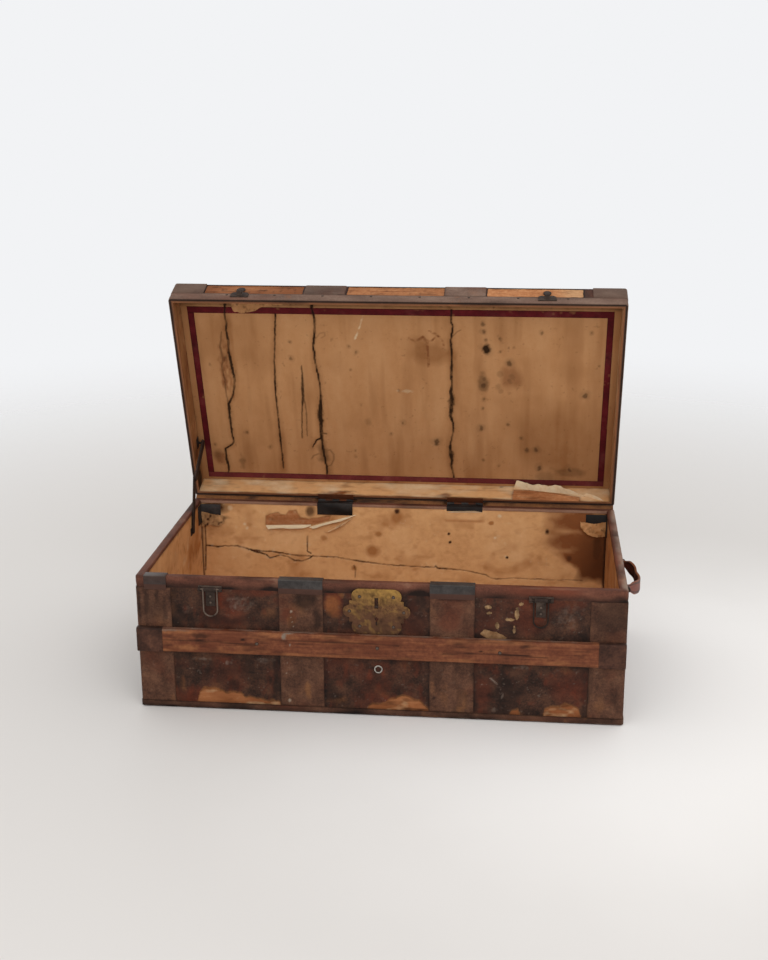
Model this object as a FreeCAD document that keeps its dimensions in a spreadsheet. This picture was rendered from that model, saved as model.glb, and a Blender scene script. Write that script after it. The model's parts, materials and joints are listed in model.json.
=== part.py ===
import FreeCAD, Part
import os
import re

import Sketcher
from FreeCAD import Placement, Rotation, Vector

# A canvas-covered pine travelling trunk with its flat lid standing open.
# Millimetres, +Z up, origin on the floor under the middle of the case.
# The front with the lock faces -Y. Lid pieces are drawn shut, then swung open about the hinge.

SIZES = {
    # Case and lid
    "case_length": 900,
    "case_width": 475,
    "case_height": 264,
    "lid_depth": 64,
    "rim_gap": 3,
    "open_angle": 72,
    # Boards and coverings
    "wall_board": 12,
    "lid_wall_board": 6,
    "floor_board": 12,
    "top_board": 12,
    "rebate_share": 0.56,
    "corner_radius": 4,
    "canvas_thick": 1.2,
    "paper_thick": 0.8,
    "leather_thick": 1.6,
    # Joints between the lid's top boards, as shares of the length from the middle
    "top_joint_one_share": -0.4088889,
    "top_joint_two_share": -0.2866667,
    "top_joint_three_share": -0.19,
    "top_joint_four_share": 0.12,
    # Bindings at the rims and at the base
    "binding_thick": 1.2,
    "binding_drop": 22,
    "binding_return": 6,
    "base_lift": 0.6,
    "base_height": 13,
    "base_proud": 3,
    "lid_strip_height": 25,
    # Leather bands and corners
    "band_width": 82,
    "left_band_place": -142,
    "right_band_place": 136,
    "corner_reach": 65,
    # Slats
    "slat_drop": 100,
    "slat_height": 46,
    "slat_thick": 11,
    "slat_round": 3,
    "slat_cap_length": 48,
    "slat_cap_thick": 1,
    # Dark clips over the front rim
    "clip_thick": 1,
    "clip_front": 26,
    "clip_inside": 12,
    "corner_clip_width": 42,
    # Fastener heads
    "nail_radius": 3.4,
    "nail_height": 1.4,
    "nail_crown": 0.6,
    "slat_nail_pitch": 224,
    "lid_nail_inset": 114,
    "lid_nail_drop": 6,
    # Lock
    "lock_place": -2,
    "lock_drop": 55,
    "lock_plate_thick": 2,
    "lock_lobe_radius": 15,
    "lock_lobe_out": 31,
    "lock_lobe_up": 29,
    "lock_side_radius": 12,
    "lock_side_out": 50,
    "lock_side_height": 42,
    "slot_width": 7,
    "slot_height": 21,
    "slot_rise": 17,
    "slot_frame": 4,
    "slot_frame_thick": 1.2,
    "keyhole_drop": 14,
    "keyhole_radius": 3.6,
    "keyhole_slit": 3,
    "keyhole_length": 12,
    "lock_case_width": 60,
    "lock_case_height": 60,
    "lock_case_depth": 11,
    "lock_case_wall": 3,
    "key_pocket_radius": 8,
    "bolt_length": 18,
    "bolt_height": 12,
    "bolt_thick": 4,
    "slide_clear": 0.3,
    # Catches
    "left_catch_inset": 140,
    "right_catch_inset": 154,
    "catch_drop": 21,
    "catch_plate_thick": 1.6,
    "catch_bar_width": 44,
    "catch_bar_height": 12,
    "catch_tongue_width": 18,
    "catch_tongue_drop": 34,
    "catch_rivet_drop": 15,
    "catch_rivet_pitch": 12,
    "catch_knuckle_radius": 3.6,
    "catch_knuckle_stand": 2.4,
    "catch_middle_width": 23,
    "catch_end_width": 4.5,
    "bail_width": 29,
    "bail_length": 53,
    "bail_wire_radius": 1.5,
    "pin_clear": 0.1,
    # Hook plates on the lid, measured up from the lid's rim
    "hook_foot": 9,
    "hook_foot_width": 36,
    "hook_foot_height": 8,
    "hook_lobe_radius": 8,
    "hook_lobe_out": 10,
    "hook_lobe_rise": 20,
    "hook_top_rise": 40,
    "hook_width": 10,
    "hook_rise": 14,
    "hook_height": 8,
    "hook_reach": 9,
    "hook_lip": 3,
    # Eyelet on the front
    "eyelet_place": 0.5,
    "eyelet_drop": 24,
    "eyelet_radius": 7.8,
    "eyelet_bore": 4,
    "eyelet_thick": 1.6,
    # End handles
    "handle_drop": 59,
    "handle_half": 66,
    "handle_bow": 26,
    "handle_width": 24,
    "handle_thick": 5,
    "handle_stand": 11,
    "handle_eye_radius": 6,
    "handle_eye_length": 12,
    "handle_pin_radius": 2.5,
    "lug_thick": 2,
    "lug_length": 28,
    "lug_height": 54,
    "lug_ear": 4,
    # Hinges
    "hinge_width": 76,
    "hinge_leaf": 1.2,
    "hinge_flange": 25,
    "knuckle_radius": 2.5,
    "hinge_pin_radius": 1.2,
    "hinge_bore_clear": 0.05,
    "hinge_head_radius": 2.2,
    "hinge_head_length": 1.2,
    "hinge_clear": 0.4,
    # Irons in the back corners
    "iron_thick": 1.5,
    "iron_back_leg": 44,
    "iron_side_leg": 26,
    "iron_drop": 51,
    "iron_height": 42,
    # Folding stay inside the left end: its three pins, measured from the hinge
    "stay_foot_reach": 104,
    "stay_foot_drop": 43.5,
    "stay_knee_reach": 74,
    "stay_knee_rise": 65.5,
    "stay_lid_reach": 114,
    "stay_lid_rise": 40.5,
    "stay_width": 11,
    "stay_thick": 2.5,
    "stay_pin_radius": 2.5,
    "stay_head_radius": 4.5,
    "stay_head_thick": 1.2,
    "stay_plate_thick": 1.5,
    "stay_plate_length": 24,
    "stay_plate_height": 16,
    "stay_clear": 0.3,
    # Maroon tape round the lid's panel
    "tape_front_margin": 33,
    "tape_back_margin": 6,
    "tape_end_margin": 13,
    "tape_width": 13,
    "tape_thick": 0.4,
}

# Levels and faces that several pieces share
HALF_L = "case_length/2"
HALF_W = "case_width/2"
BOARD_X = "(case_length/2 - canvas_thick)"
BOARD_Y = "(case_width/2 - canvas_thick)"
CLEAR_X = "(case_length/2 - canvas_thick - wall_board - paper_thick)"
CLEAR_Y = "(case_width/2 - canvas_thick - wall_board - paper_thick)"
LID_CLEAR_X = "(case_length/2 - canvas_thick - lid_wall_board - paper_thick)"
LID_CLEAR_Y = "(case_width/2 - canvas_thick - lid_wall_board - paper_thick)"
BOARD_RADIUS = "(corner_radius - canvas_thick)"
WALL_TOP = "(case_height - binding_thick)"
BAND_TOP = "(case_height - binding_drop)"
LID_RIM = "(case_height + rim_gap)"
LID_TOP = "(case_height + rim_gap + lid_depth)"
LID_WALL_FOOT = "(case_height + rim_gap + binding_thick)"
LID_WALL_TOP = "(case_height + rim_gap + lid_depth - canvas_thick - top_board)"
LID_STRIP_TOP = "(case_height + rim_gap + lid_strip_height)"
PANEL = "(case_height + rim_gap + lid_depth - canvas_thick - top_board - paper_thick)"
METAL_BACK = "(case_width/2 + binding_thick)"
HINGE_Y = "(case_width/2 + leather_thick + knuckle_radius + hinge_clear)"
HINGE_Z = "(case_height + rim_gap/2)"
SLAT_BOTTOM = "(case_height - slat_drop - slat_height)"
LOCK_LEVEL = "(case_height - lock_drop)"
CATCH_LEVEL = "(case_height - catch_drop)"
HANDLE_LEVEL = "(case_height - handle_drop)"
CATCH_PLACES = {"left": "(left_catch_inset - case_length/2)", "right": "(case_length/2 - right_catch_inset)"}
KNUCKLES = 5
LID_NAILS = 4

doc = FreeCAD.newDocument("trunk")
dims = doc.addObject("Spreadsheet::Sheet", "dims")
nodes = []


def fill_sheet():
    """Write every size into the sheet, one row each, under its own alias."""
    for row, (alias, value) in enumerate(SIZES.items(), start=1):
        dims.set(f"A{row}", alias)
        dims.set(f"B{row}", str(value))
        dims.setAlias(f"B{row}", alias)
    doc.recompute()


def sheet_form(text):
    """Turn the size names in a formula into cells of the sheet."""
    return re.sub(r"[a-z_]+", lambda m: "dims." + m[0] if m[0] in SIZES else m[0], str(text))


def bind(item, prop, text):
    """Tie one property of a document object to a formula of sizes."""
    item.setExpression(prop, sheet_form(text))


def value(text):
    """Work out a formula of sizes, for the first drawing of a sketch."""
    return float(dims.evalExpression(sheet_form(text)))


def opened(y, z):
    """Where a point of the shut lid lies once the lid is open."""
    return (f"({HINGE_Y} + (({y}) - {HINGE_Y})*cos(open_angle) + (({z}) - {HINGE_Z})*sin(open_angle))",
            f"({HINGE_Z} - (({y}) - {HINGE_Y})*sin(open_angle) + (({z}) - {HINGE_Z})*cos(open_angle))")


def place(item, x, y, z, lid=False):
    """Put an object's origin at a point, swung open with the lid if it belongs there."""
    if lid:
        y, z = opened(y, z)
        item.Placement = Placement(Vector(), Rotation(Vector(-1, 0, 0), value("open_angle")))
        bind(item, "Placement.Rotation.Angle", "open_angle")
    for axis, text in zip("xyz", (x, y, z)):
        bind(item, f"Placement.Base.{axis}", text)


def swing(item, lid):
    """Swing a finished lid piece open about the hinge."""
    if lid:
        place(item, "0", "0", "0", lid=True)


def box(label, x, y, z, lid=False):
    """A block between two faces on each axis."""
    item = doc.addObject("Part::Box", label)
    for prop, (low, high) in zip(("Length", "Width", "Height"), (x, y, z)):
        bind(item, prop, f"({high}) - ({low})")
    place(item, x[0], y[0], z[0], lid)
    return item


TURNS = {
    "X": Rotation(Vector(0, 1, 0), 90),
    "Y": Rotation(Vector(1, 0, 0), -90),
    "Z": Rotation(),
}


def rod(label, axis, centre, span, radius):
    """A round bar along one axis: centre gives the other two places, span its two ends."""
    item = doc.addObject("Part::Cylinder", label)
    item.Placement = Placement(Vector(), TURNS[axis])
    bind(item, "Radius", radius)
    bind(item, "Height", f"({span[1]}) - ({span[0]})")
    spots = list(centre)
    spots.insert("XYZ".index(axis), span[0])
    place(item, *spots)
    return item


def ball(label, centre, radius):
    """A round corner where two wires meet."""
    item = doc.addObject("Part::Sphere", label)
    bind(item, "Radius", radius)
    place(item, *centre)
    return item


def fuse(label, pieces, lid=False):
    item = doc.addObject("Part::MultiFuse", label)
    item.Shapes = pieces
    item.Refine = True
    swing(item, lid)
    return item


def cut(label, base, tool, lid=False):
    item = doc.addObject("Part::Cut", label)
    item.Base = base
    item.Tool = tool
    item.Refine = True
    swing(item, lid)
    return item


def common(label, base, tool, lid=False):
    item = doc.addObject("Part::Common", label)
    item.Base = base
    item.Tool = tool
    swing(item, lid)
    return item


def group(label, pieces, lid=False):
    """Several separate solids that share one node."""
    item = doc.addObject("Part::Compound", label)
    item.Links = pieces
    swing(item, lid)
    return item


def about(centre, reach):
    """The span that reaches equally far to both sides of a place."""
    return (f"{centre} - {reach}", f"{centre} + {reach}")


def keep(item):
    """Count a finished piece as a node of the trunk."""
    nodes.append(item)
    return item


def rectangle(x, y, radius=None):
    """A rectangle about the middle, with round corners if a radius is given."""
    corners = ((-1, -1), (1, -1), (1, 1), (-1, 1))
    return [(f"{i}*({x})", f"{j}*({y})", radius) for i, j in corners]


def toward(start, end):
    """Unit step along an axis from one corner to the next."""
    step = [value(e) - value(s) for s, e in zip(start[:2], end[:2])]
    return [0 if abs(d) < 1e-6 else (1 if d > 0 else -1) for d in step]


def pin_point(sketch, geometry, end, point):
    """Tie a sketch point to its two formulas."""
    for kind, text in zip(("DistanceX", "DistanceY"), point):
        index = sketch.addConstraint(Sketcher.Constraint(kind, -1, 1, geometry, end, value(text)))
        bind(sketch, f"Constraints[{index}]", text)


def spot(point):
    """A sketch point from its two formulas."""
    return Vector(value(point[0]), value(point[1]), 0)


def draw_outline(sketch, corners):
    """Draw a closed outline of straight edges along the axes, with arcs at round corners."""
    stops = []
    for i, corner in enumerate(corners):
        radius = corner[2] if len(corner) > 2 else None
        back = toward(corner, corners[i - 1])
        ahead = toward(corner, corners[(i + 1) % len(corners)])
        if radius is None:
            stops.append((corner[:2], corner[:2], None, None))
            continue
        enter = tuple(f"({c}) + {s}*({radius})" for c, s in zip(corner, back))
        leave = tuple(f"({c}) + {s}*({radius})" for c, s in zip(corner, ahead))
        middle = tuple(f"({c}) + {a + b}*({radius})" for c, a, b in zip(corner, back, ahead))
        stops.append((enter, leave, middle, radius))
    lines = []
    for i, stop in enumerate(stops):
        following = stops[(i + 1) % len(stops)]
        lines.append(sketch.addGeometry(Part.LineSegment(spot(stop[1]), spot(following[0]))))
        pin_point(sketch, lines[-1], 1, stop[1])
    for i, (enter, leave, middle, radius) in enumerate(stops):
        if radius is None:
            sketch.addConstraint(Sketcher.Constraint("Coincident", lines[i - 1], 2, lines[i], 1))
            continue
        pin_point(sketch, lines[i - 1], 2, enter)
        hub = spot(middle)
        bulge = (spot(enter) + spot(leave)) * 0.5 - hub
        through = hub + bulge.normalize() * value(radius)
        arc = sketch.addGeometry(Part.Arc(spot(enter), through, spot(leave)))
        gaps = {end: (sketch.getPoint(arc, end) - spot(enter)).Length for end in (1, 2)}
        ends = sorted(gaps, key=gaps.get)
        sketch.addConstraint(Sketcher.Constraint("Coincident", lines[i - 1], 2, arc, ends[0]))
        sketch.addConstraint(Sketcher.Constraint("Coincident", lines[i], 1, arc, ends[1]))
        index = sketch.addConstraint(Sketcher.Constraint("Radius", arc, value(radius)))
        bind(sketch, f"Constraints[{index}]", radius)


def draw_circle(sketch, centre, radius):
    """Draw a round hole."""
    hole = sketch.addGeometry(Part.Circle(spot(centre), Vector(0, 0, 1), value(radius)))
    pin_point(sketch, hole, 3, centre)
    index = sketch.addConstraint(Sketcher.Constraint("Radius", hole, value(radius)))
    bind(sketch, f"Constraints[{index}]", radius)


def prism(label, plane, outlines, span, holes=(), lid=False):
    """Outlines on an origin plane, padded along its normal from the first level to the second."""
    body = doc.addObject("PartDesign::Body", label)
    sketch = body.newObject("Sketcher::SketchObject", label + "_outline")
    support = next(f for f in body.Origin.OriginFeatures if f.Role == plane + "_Plane")
    sketch.AttachmentSupport = [(support, "")]
    sketch.MapMode = "FlatFace"
    bind(sketch, "AttachmentOffset.Base.z", span[0])
    for outline in outlines:
        draw_outline(sketch, outline)
    for centre, radius in holes:
        draw_circle(sketch, centre, radius)
    pad = body.newObject("PartDesign::Pad", label + "_pad")
    pad.Profile = sketch
    bind(pad, "Length", f"({span[1]}) - ({span[0]})")
    swing(body, lid)
    return body


def ring(label, outer, inner, span, lid=False):
    """A band that goes right round, between an outer and an inner rectangle."""
    return prism(label, "XY", [rectangle(*outer), rectangle(*inner)], span, lid=lid)


def stud(label, x, y, z):
    """A low round fastener head that faces the front."""
    item = doc.addObject("Part::Cone", label)
    item.Placement = Placement(Vector(), Rotation(Vector(1, 0, 0), 90))
    bind(item, "Radius1", "nail_radius")
    bind(item, "Radius2", "nail_radius*nail_crown")
    bind(item, "Height", "nail_height")
    place(item, x, y, z)
    return item


def rebated_board(label, side, span, thick):
    """A long board whose ends are halved over the end boards."""
    tongue = f"{side}*({BOARD_Y} - {thick}*rebate_share)"
    outside = f"{side}*{BOARD_Y}"
    inside = f"{side}*({BOARD_Y} - {thick})"
    end = f"({BOARD_X} - {thick})"
    outline = [
        (f"-{BOARD_X}", outside, BOARD_RADIUS),
        (BOARD_X, outside, BOARD_RADIUS),
        (BOARD_X, tongue),
        (end, tongue),
        (end, inside),
        (f"-{end}", inside),
        (f"-{end}", tongue),
        (f"-{BOARD_X}", tongue),
    ]
    return prism(label, "XY", [outline], span)


def end_board(label, side, span, thick, lid=False):
    """A short board between the tongues of the long ones."""
    faces = [f"{side}*{BOARD_X}", f"{side}*({BOARD_X} - {thick})"]
    if side < 0:
        low, high = faces
    else:
        high, low = faces
    reach = f"({BOARD_Y} - {thick}*rebate_share)"
    return box(label, (low, high), (f"-{reach}", reach), span, lid)


def lock_block(label):
    """The space that the lock takes in the front wall."""
    return box(label, about("lock_place", "lock_case_width/2"),
               (f"-{METAL_BACK}", f"-{METAL_BACK} + lock_case_depth"),
               about(LOCK_LEVEL, "lock_case_height/2"))


def make_case_woodwork():
    walls = ("floor_board", WALL_TOP)
    blank = rebated_board("front_board_blank", -1, walls, "wall_board")
    keep(cut("case_front_board", blank, lock_block("board_mortise")))
    keep(rebated_board("case_back_board", 1, walls, "wall_board"))
    keep(end_board("case_left_board", -1, walls, "wall_board"))
    keep(end_board("case_right_board", 1, walls, "wall_board"))
    keep(prism("case_floor_board", "XY", [rectangle(BOARD_X, BOARD_Y, BOARD_RADIUS)],
               ("0", "floor_board")))


def make_case_coverings():
    skin = ring("canvas_blank", (HALF_L, HALF_W, "corner_radius"), (BOARD_X, BOARD_Y, BOARD_RADIUS),
                ("base_lift", WALL_TOP))
    keep(cut("case_canvas", skin, lock_block("canvas_mortise")))

    along, across = f"({CLEAR_X} + paper_thick)", f"({CLEAR_Y} + paper_thick)"
    outside = box("lining_outside", (f"-{along}", along), (f"-{across}", across), ("floor_board", WALL_TOP))
    hollow = box("lining_hollow", (f"-{CLEAR_X}", CLEAR_X), (f"-{CLEAR_Y}", CLEAR_Y),
                 ("floor_board + paper_thick", "case_height"))
    keep(cut("case_lining", outside, hollow))

    bound = (f"{HALF_L} + binding_thick", f"{HALF_W} + binding_thick", "corner_radius + binding_thick")
    inside = (f"{CLEAR_X} - binding_thick", f"{CLEAR_Y} - binding_thick")
    leaves = [
        ring("binding_front", bound, (HALF_L, HALF_W, "corner_radius"), (BAND_TOP, "case_height")),
        ring("binding_top", bound, inside, (WALL_TOP, "case_height")),
        ring("binding_inside", (CLEAR_X, CLEAR_Y), inside,
             ("case_height - binding_return", "case_height")),
    ]
    keep(fuse("rim_binding", leaves))
    skirt = (f"{HALF_L} + base_proud", f"{HALF_W} + base_proud", "corner_radius + base_proud")
    keep(ring("base_binding", skirt, (HALF_L, HALF_W, "corner_radius"), ("base_lift", "base_height")))


def make_case_leather():
    for name, low, high in (("front_bands", f"-{HALF_W} - leather_thick", f"-{HALF_W}"),
                            ("back_bands", HALF_W, f"{HALF_W} + leather_thick")):
        strips = [box(f"{name}_{side}", about(f"{side}_band_place", "band_width/2"), (low, high),
                      ("base_height", BAND_TOP)) for side in ("left", "right")]
        keep(group(name, strips))
    skin = ring("corner_skin", (f"{HALF_L} + leather_thick", f"{HALF_W} + leather_thick",
                                "corner_radius + leather_thick"),
                (HALF_L, HALF_W, "corner_radius"), ("base_height", BAND_TOP))
    keep(common("corner_leathers", skin, corner_blocks("case_corner", "0", BAND_TOP)))


def corner_blocks(label, low, high):
    """Four upright blocks that pick the corners out of a cover."""
    blocks = []
    for i, (along, across) in enumerate(((-1, -1), (1, -1), (1, 1), (-1, 1))):
        spans = []
        for sign, half in ((along, HALF_L), (across, HALF_W)):
            outer = f"({half} + corner_reach)"
            inner = f"({half} - corner_reach)"
            spans.append((inner, outer) if sign > 0 else (f"-{outer}", f"-{inner}"))
        blocks.append(box(f"{label}_{i}", spans[0], spans[1], (low, high)))
    return fuse(label + "_blocks", blocks)


def slat_section(side, extra):
    """Section of a slat or of its cap, round at the outer edges."""
    back = f"{side}*({HALF_W} + leather_thick)"
    face = f"{side}*({HALF_W} + leather_thick + slat_thick + {extra})"
    low = f"{SLAT_BOTTOM} - {extra}"
    high = f"{SLAT_BOTTOM} + slat_height + {extra}"
    round_edge = f"slat_round + {extra}"
    return [(back, low), (face, low, round_edge), (face, high, round_edge), (back, high)]


def make_slats():
    caps = []
    for name, side in (("front", -1), ("back", 1)):
        slat = keep(prism(f"{name}_slat", "YZ", [slat_section(side, "0")], (f"-{HALF_L}", HALF_L)))
        for end, span in (("left", (f"-{HALF_L} - slat_cap_thick", f"-{HALF_L} + slat_cap_length")),
                          ("right", (f"{HALF_L} - slat_cap_length", f"{HALF_L} + slat_cap_thick"))):
            shell = prism(f"{name}_{end}_cap_blank", "YZ", [slat_section(side, "slat_cap_thick")], span)
            caps.append(cut(f"{name}_{end}_cap", shell, slat))
    keep(group("slat_end_caps", caps))
    face = f"-{HALF_W} - leather_thick - slat_thick"
    level = f"{SLAT_BOTTOM} + slat_height/2"
    nails = [stud(f"slat_nail_{i}", f"{i}*slat_nail_pitch", face, level) for i in (-1, 0, 1)]
    keep(group("slat_nails", nails))


def make_rim_clips():
    outside = f"-{HALF_W} - leather_thick"
    inside = f"-{CLEAR_Y} + binding_thick"
    section = [
        (f"{outside} - clip_thick", "case_height - clip_front"),
        (outside, "case_height - clip_front"),
        (outside, "case_height"),
        (inside, "case_height"),
        (inside, "case_height - clip_inside"),
        (f"{inside} + clip_thick", "case_height - clip_inside"),
        (f"{inside} + clip_thick", "case_height + clip_thick"),
        (f"{outside} - clip_thick", "case_height + clip_thick", "clip_thick"),
    ]
    spans = {
        "left": about("left_band_place", "band_width/2"),
        "right": about("right_band_place", "band_width/2"),
        "corner": (f"-{CLEAR_X} + binding_thick", f"-{CLEAR_X} + binding_thick + corner_clip_width"),
    }
    clips = [prism(f"rim_clip_{name}", "YZ", [section], span) for name, span in spans.items()]
    keep(group("rim_clips", clips))


def make_lock():
    back = f"-{METAL_BACK}"
    face = f"-{METAL_BACK} - lock_plate_thick"
    proud = f"-{METAL_BACK} - lock_plate_thick - slot_frame_thick"
    flat = (face, back)
    quarters = [(f"lock_place + {i}*lock_lobe_out", f"{LOCK_LEVEL} + {j}*lock_lobe_up")
                for i in (-1, 1) for j in (-1, 1)]
    sides = [(f"lock_place + {i}*lock_side_out", LOCK_LEVEL) for i in (-1, 1)]
    lobes = [rod(f"lock_lobe_{i}", "Y", at, flat, "lock_lobe_radius") for i, at in enumerate(quarters)]
    lobes += [rod(f"lock_side_{i}", "Y", at, flat, "lock_side_radius") for i, at in enumerate(sides)]
    lobes.append(box("lock_middle", about("lock_place", "lock_lobe_out"), flat,
                     about(LOCK_LEVEL, "(lock_lobe_up + lock_lobe_radius)")))
    lobes.append(box("lock_waist", about("lock_place", "lock_side_out"), flat,
                     about(LOCK_LEVEL, "lock_side_height/2")))
    bolt_level = f"{LOCK_LEVEL} + slot_rise"
    slot_x = about("lock_place", "slot_width/2")
    slot_z = about(bolt_level, "slot_height/2")
    lobes.append(box("slot_frame_plate", about("lock_place", "(slot_width/2 + slot_frame)"), (proud, face),
                     about(bolt_level, "(slot_height/2 + slot_frame)")))
    through = (f"{proud} - slide_clear", back)
    keyhole = f"{LOCK_LEVEL} - keyhole_drop"
    holes = [
        box("slot_hole", slot_x, through, slot_z),
        rod("keyhole_round", "Y", ("lock_place", keyhole), through, "keyhole_radius"),
        box("keyhole_slit", about("lock_place", "keyhole_slit/2"), through,
            (f"{keyhole} - keyhole_length", keyhole)),
    ]
    keep(cut("lock_plate", fuse("lock_plate_blank", lobes), fuse("lock_plate_holes", holes)))

    rivets = [stud(f"lock_rivet_{i}", x, face, z) for i, (x, z) in enumerate(quarters + sides)]
    keep(group("lock_rivets", rivets))

    channel_x = about("lock_place", "(lock_case_width/2 - lock_case_wall)")
    channel = box("bolt_channel", channel_x, (back, f"{back} + bolt_thick + 2*slide_clear"),
                  about(bolt_level, "(bolt_height/2 + slide_clear)"))
    pocket_end = f"{back} + lock_case_depth - lock_case_wall"
    pocket = rod("key_pocket", "Y", ("lock_place", keyhole), (back, pocket_end), "key_pocket_radius")
    keep(cut("lock_case", lock_block("lock_case_blank"), fuse("lock_case_hollows", [channel, pocket])))
    start = f"{channel_x[0]} + slide_clear"
    keep(box("lock_bolt", (start, f"{start} + bolt_length"),
             (f"{back} + slide_clear", f"{back} + slide_clear + bolt_thick"),
             about(bolt_level, "bolt_height/2")))


def make_catch(side):
    """A draw catch: plate with three knuckles, a wire bail in them and a hook plate on the lid."""
    centre = CATCH_PLACES[side]
    back = f"-{METAL_BACK}"
    face = f"-{METAL_BACK} - catch_plate_thick"
    axis_y = f"{face} - catch_knuckle_stand"
    axis = (axis_y, CATCH_LEVEL)
    ends = about(centre, "catch_bar_width/2")
    pieces = [
        box(f"{side}_catch_bar", ends, (face, back), about(CATCH_LEVEL, "catch_bar_height/2")),
        box(f"{side}_catch_tongue", about(centre, "catch_tongue_width/2"), (face, back),
            (f"{CATCH_LEVEL} - catch_tongue_drop", CATCH_LEVEL)),
    ]
    knuckles = {
        "middle": about(centre, "catch_middle_width/2"),
        "low": (ends[0], f"{ends[0]} + catch_end_width"),
        "high": (f"{ends[1]} - catch_end_width", ends[1]),
    }
    pieces += [rod(f"{side}_catch_knuckle_{name}", "X", axis, span, "catch_knuckle_radius")
               for name, span in knuckles.items()]
    bore = rod(f"{side}_catch_bore", "X", axis, ends, "bail_wire_radius + pin_clear")
    keep(cut(f"{side}_catch_plate", fuse(f"{side}_catch_blank", pieces), bore))

    foot = f"{CATCH_LEVEL} - bail_length"
    drop = (foot, CATCH_LEVEL)
    legs = about(centre, "(bail_width/2 - bail_wire_radius)")
    wires = [rod(f"{side}_bail_pivot", "X", axis, ends, "bail_wire_radius"),
             rod(f"{side}_bail_foot", "X", (axis_y, foot), legs, "bail_wire_radius")]
    for i, leg in enumerate(legs):
        wires.append(rod(f"{side}_bail_leg_{i}", "Z", (leg, axis_y), drop, "bail_wire_radius"))
        wires.append(ball(f"{side}_bail_corner_{i}", (leg, axis_y, foot), "bail_wire_radius"))
    keep(fuse(f"{side}_bail", wires))

    rises = {
        "left": (f"{centre} - hook_lobe_out", f"{LID_RIM} + hook_lobe_rise"),
        "right": (f"{centre} + hook_lobe_out", f"{LID_RIM} + hook_lobe_rise"),
        "top": (centre, f"{LID_RIM} + hook_top_rise"),
    }
    leaf = [rod(f"{side}_hook_lobe_{name}", "Y", at, (face, back), "hook_lobe_radius")
            for name, at in rises.items()]
    foot = f"{LID_RIM} + hook_foot"
    leaf.append(box(f"{side}_hook_foot", about(centre, "hook_foot_width/2"), (face, back),
                    (foot, f"{foot} + hook_foot_height")))
    width = about(centre, "hook_width/2")
    leaf.append(box(f"{side}_hook_stem", width, (face, back), (foot, f"{LID_RIM} + hook_top_rise")))
    low = f"{LID_RIM} + hook_rise"
    high = f"{low} + hook_height"
    tip = f"{face} - hook_reach"
    leaf.append(box(f"{side}_hook_nub", width, (tip, face), (low, high)))
    leaf.append(box(f"{side}_hook_tip", width, (tip, f"{tip} + hook_lip"), (low, f"{high} + hook_lip")))
    keep(fuse(f"{side}_hook", leaf, lid=True))

    levels = [f"{CATCH_LEVEL} - catch_rivet_drop - {i}*catch_rivet_pitch" for i in (0, 1)]
    return [stud(f"{side}_catch_rivet_{i}", centre, face, level) for i, level in enumerate(levels)]


def make_eyelet():
    face = (f"-{HALF_W} - eyelet_thick", f"-{HALF_W}")
    at = ("eyelet_place", f"{SLAT_BOTTOM} - eyelet_drop")
    keep(cut("front_eyelet", rod("eyelet_disc", "Y", at, face, "eyelet_radius"),
             rod("eyelet_hole", "Y", at, face, "eyelet_bore")))


def make_handle(name, side):
    """A bowed leather strap that swings on two pins, one in the ear of each lug."""
    def across(low, high):
        spans = (f"{side}*({low})", f"{side}*({high})")
        return spans if side > 0 else spans[::-1]

    bend = "((handle_half^2 + handle_bow^2)/(2*handle_bow))"
    pivot = f"{HALF_L} + handle_stand"
    hub = f"{side}*({pivot} + handle_bow - {bend})"
    level = about(HANDLE_LEVEL, "handle_width/2")
    bow = cut(f"{name}_handle_bow",
              rod(f"{name}_handle_outer", "Z", (hub, "0"), level, f"{bend} + handle_thick/2"),
              rod(f"{name}_handle_inner", "Z", (hub, "0"), level, f"{bend} - handle_thick/2"))
    stretch = box(f"{name}_handle_stretch",
                  across(f"{pivot} - handle_thick", f"{pivot} + handle_bow + handle_thick"),
                  ("-handle_half", "handle_half"), level)
    pieces = [common(f"{name}_handle_arch", bow, stretch)]
    axis = (f"{side}*({pivot})", HANDLE_LEVEL)
    bores = []
    lugs = []
    for end, sign in (("front", -1), ("back", 1)):
        def run(low, high):
            spans = (f"{sign}*({low})", f"{sign}*({high})")
            return spans if sign > 0 else spans[::-1]

        tag = f"{name}_handle_{end}"
        eye_start = "handle_half - handle_eye_length/4"
        eye_end = f"{eye_start} + handle_eye_length"
        ear_start = f"{eye_end} + slide_clear"
        pieces.append(rod(f"{tag}_eye", "Y", axis, run(eye_start, eye_end), "handle_eye_radius"))
        bores.append(rod(f"{tag}_bore", "Y", axis, run(f"{eye_start} - slide_clear", eye_end),
                         "handle_pin_radius + pin_clear"))
        plate_start = "handle_half + lug_thick"
        ear = run(ear_start, f"{ear_start} + lug_ear")
        lug = [
            box(f"{tag}_lug_plate", across(HALF_L, f"{HALF_L} + lug_thick"),
                run(plate_start, f"{plate_start} + lug_length"), about(HANDLE_LEVEL, "lug_height/2")),
            box(f"{tag}_lug_ear", across(HALF_L, pivot), ear, about(HANDLE_LEVEL, "handle_eye_radius")),
            rod(f"{tag}_lug_round", "Y", axis, ear, "handle_eye_radius"),
            rod(f"{tag}_lug_pin", "Y", axis, run(eye_start, ear_start), "handle_pin_radius"),
        ]
        lugs.append(fuse(f"{tag}_lug", lug))
    blank = fuse(f"{name}_handle_blank", pieces)
    keep(cut(f"{name}_handle_strap", blank, fuse(f"{name}_handle_bores", bores)))
    keep(group(f"{name}_handle_lugs", lugs))


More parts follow.
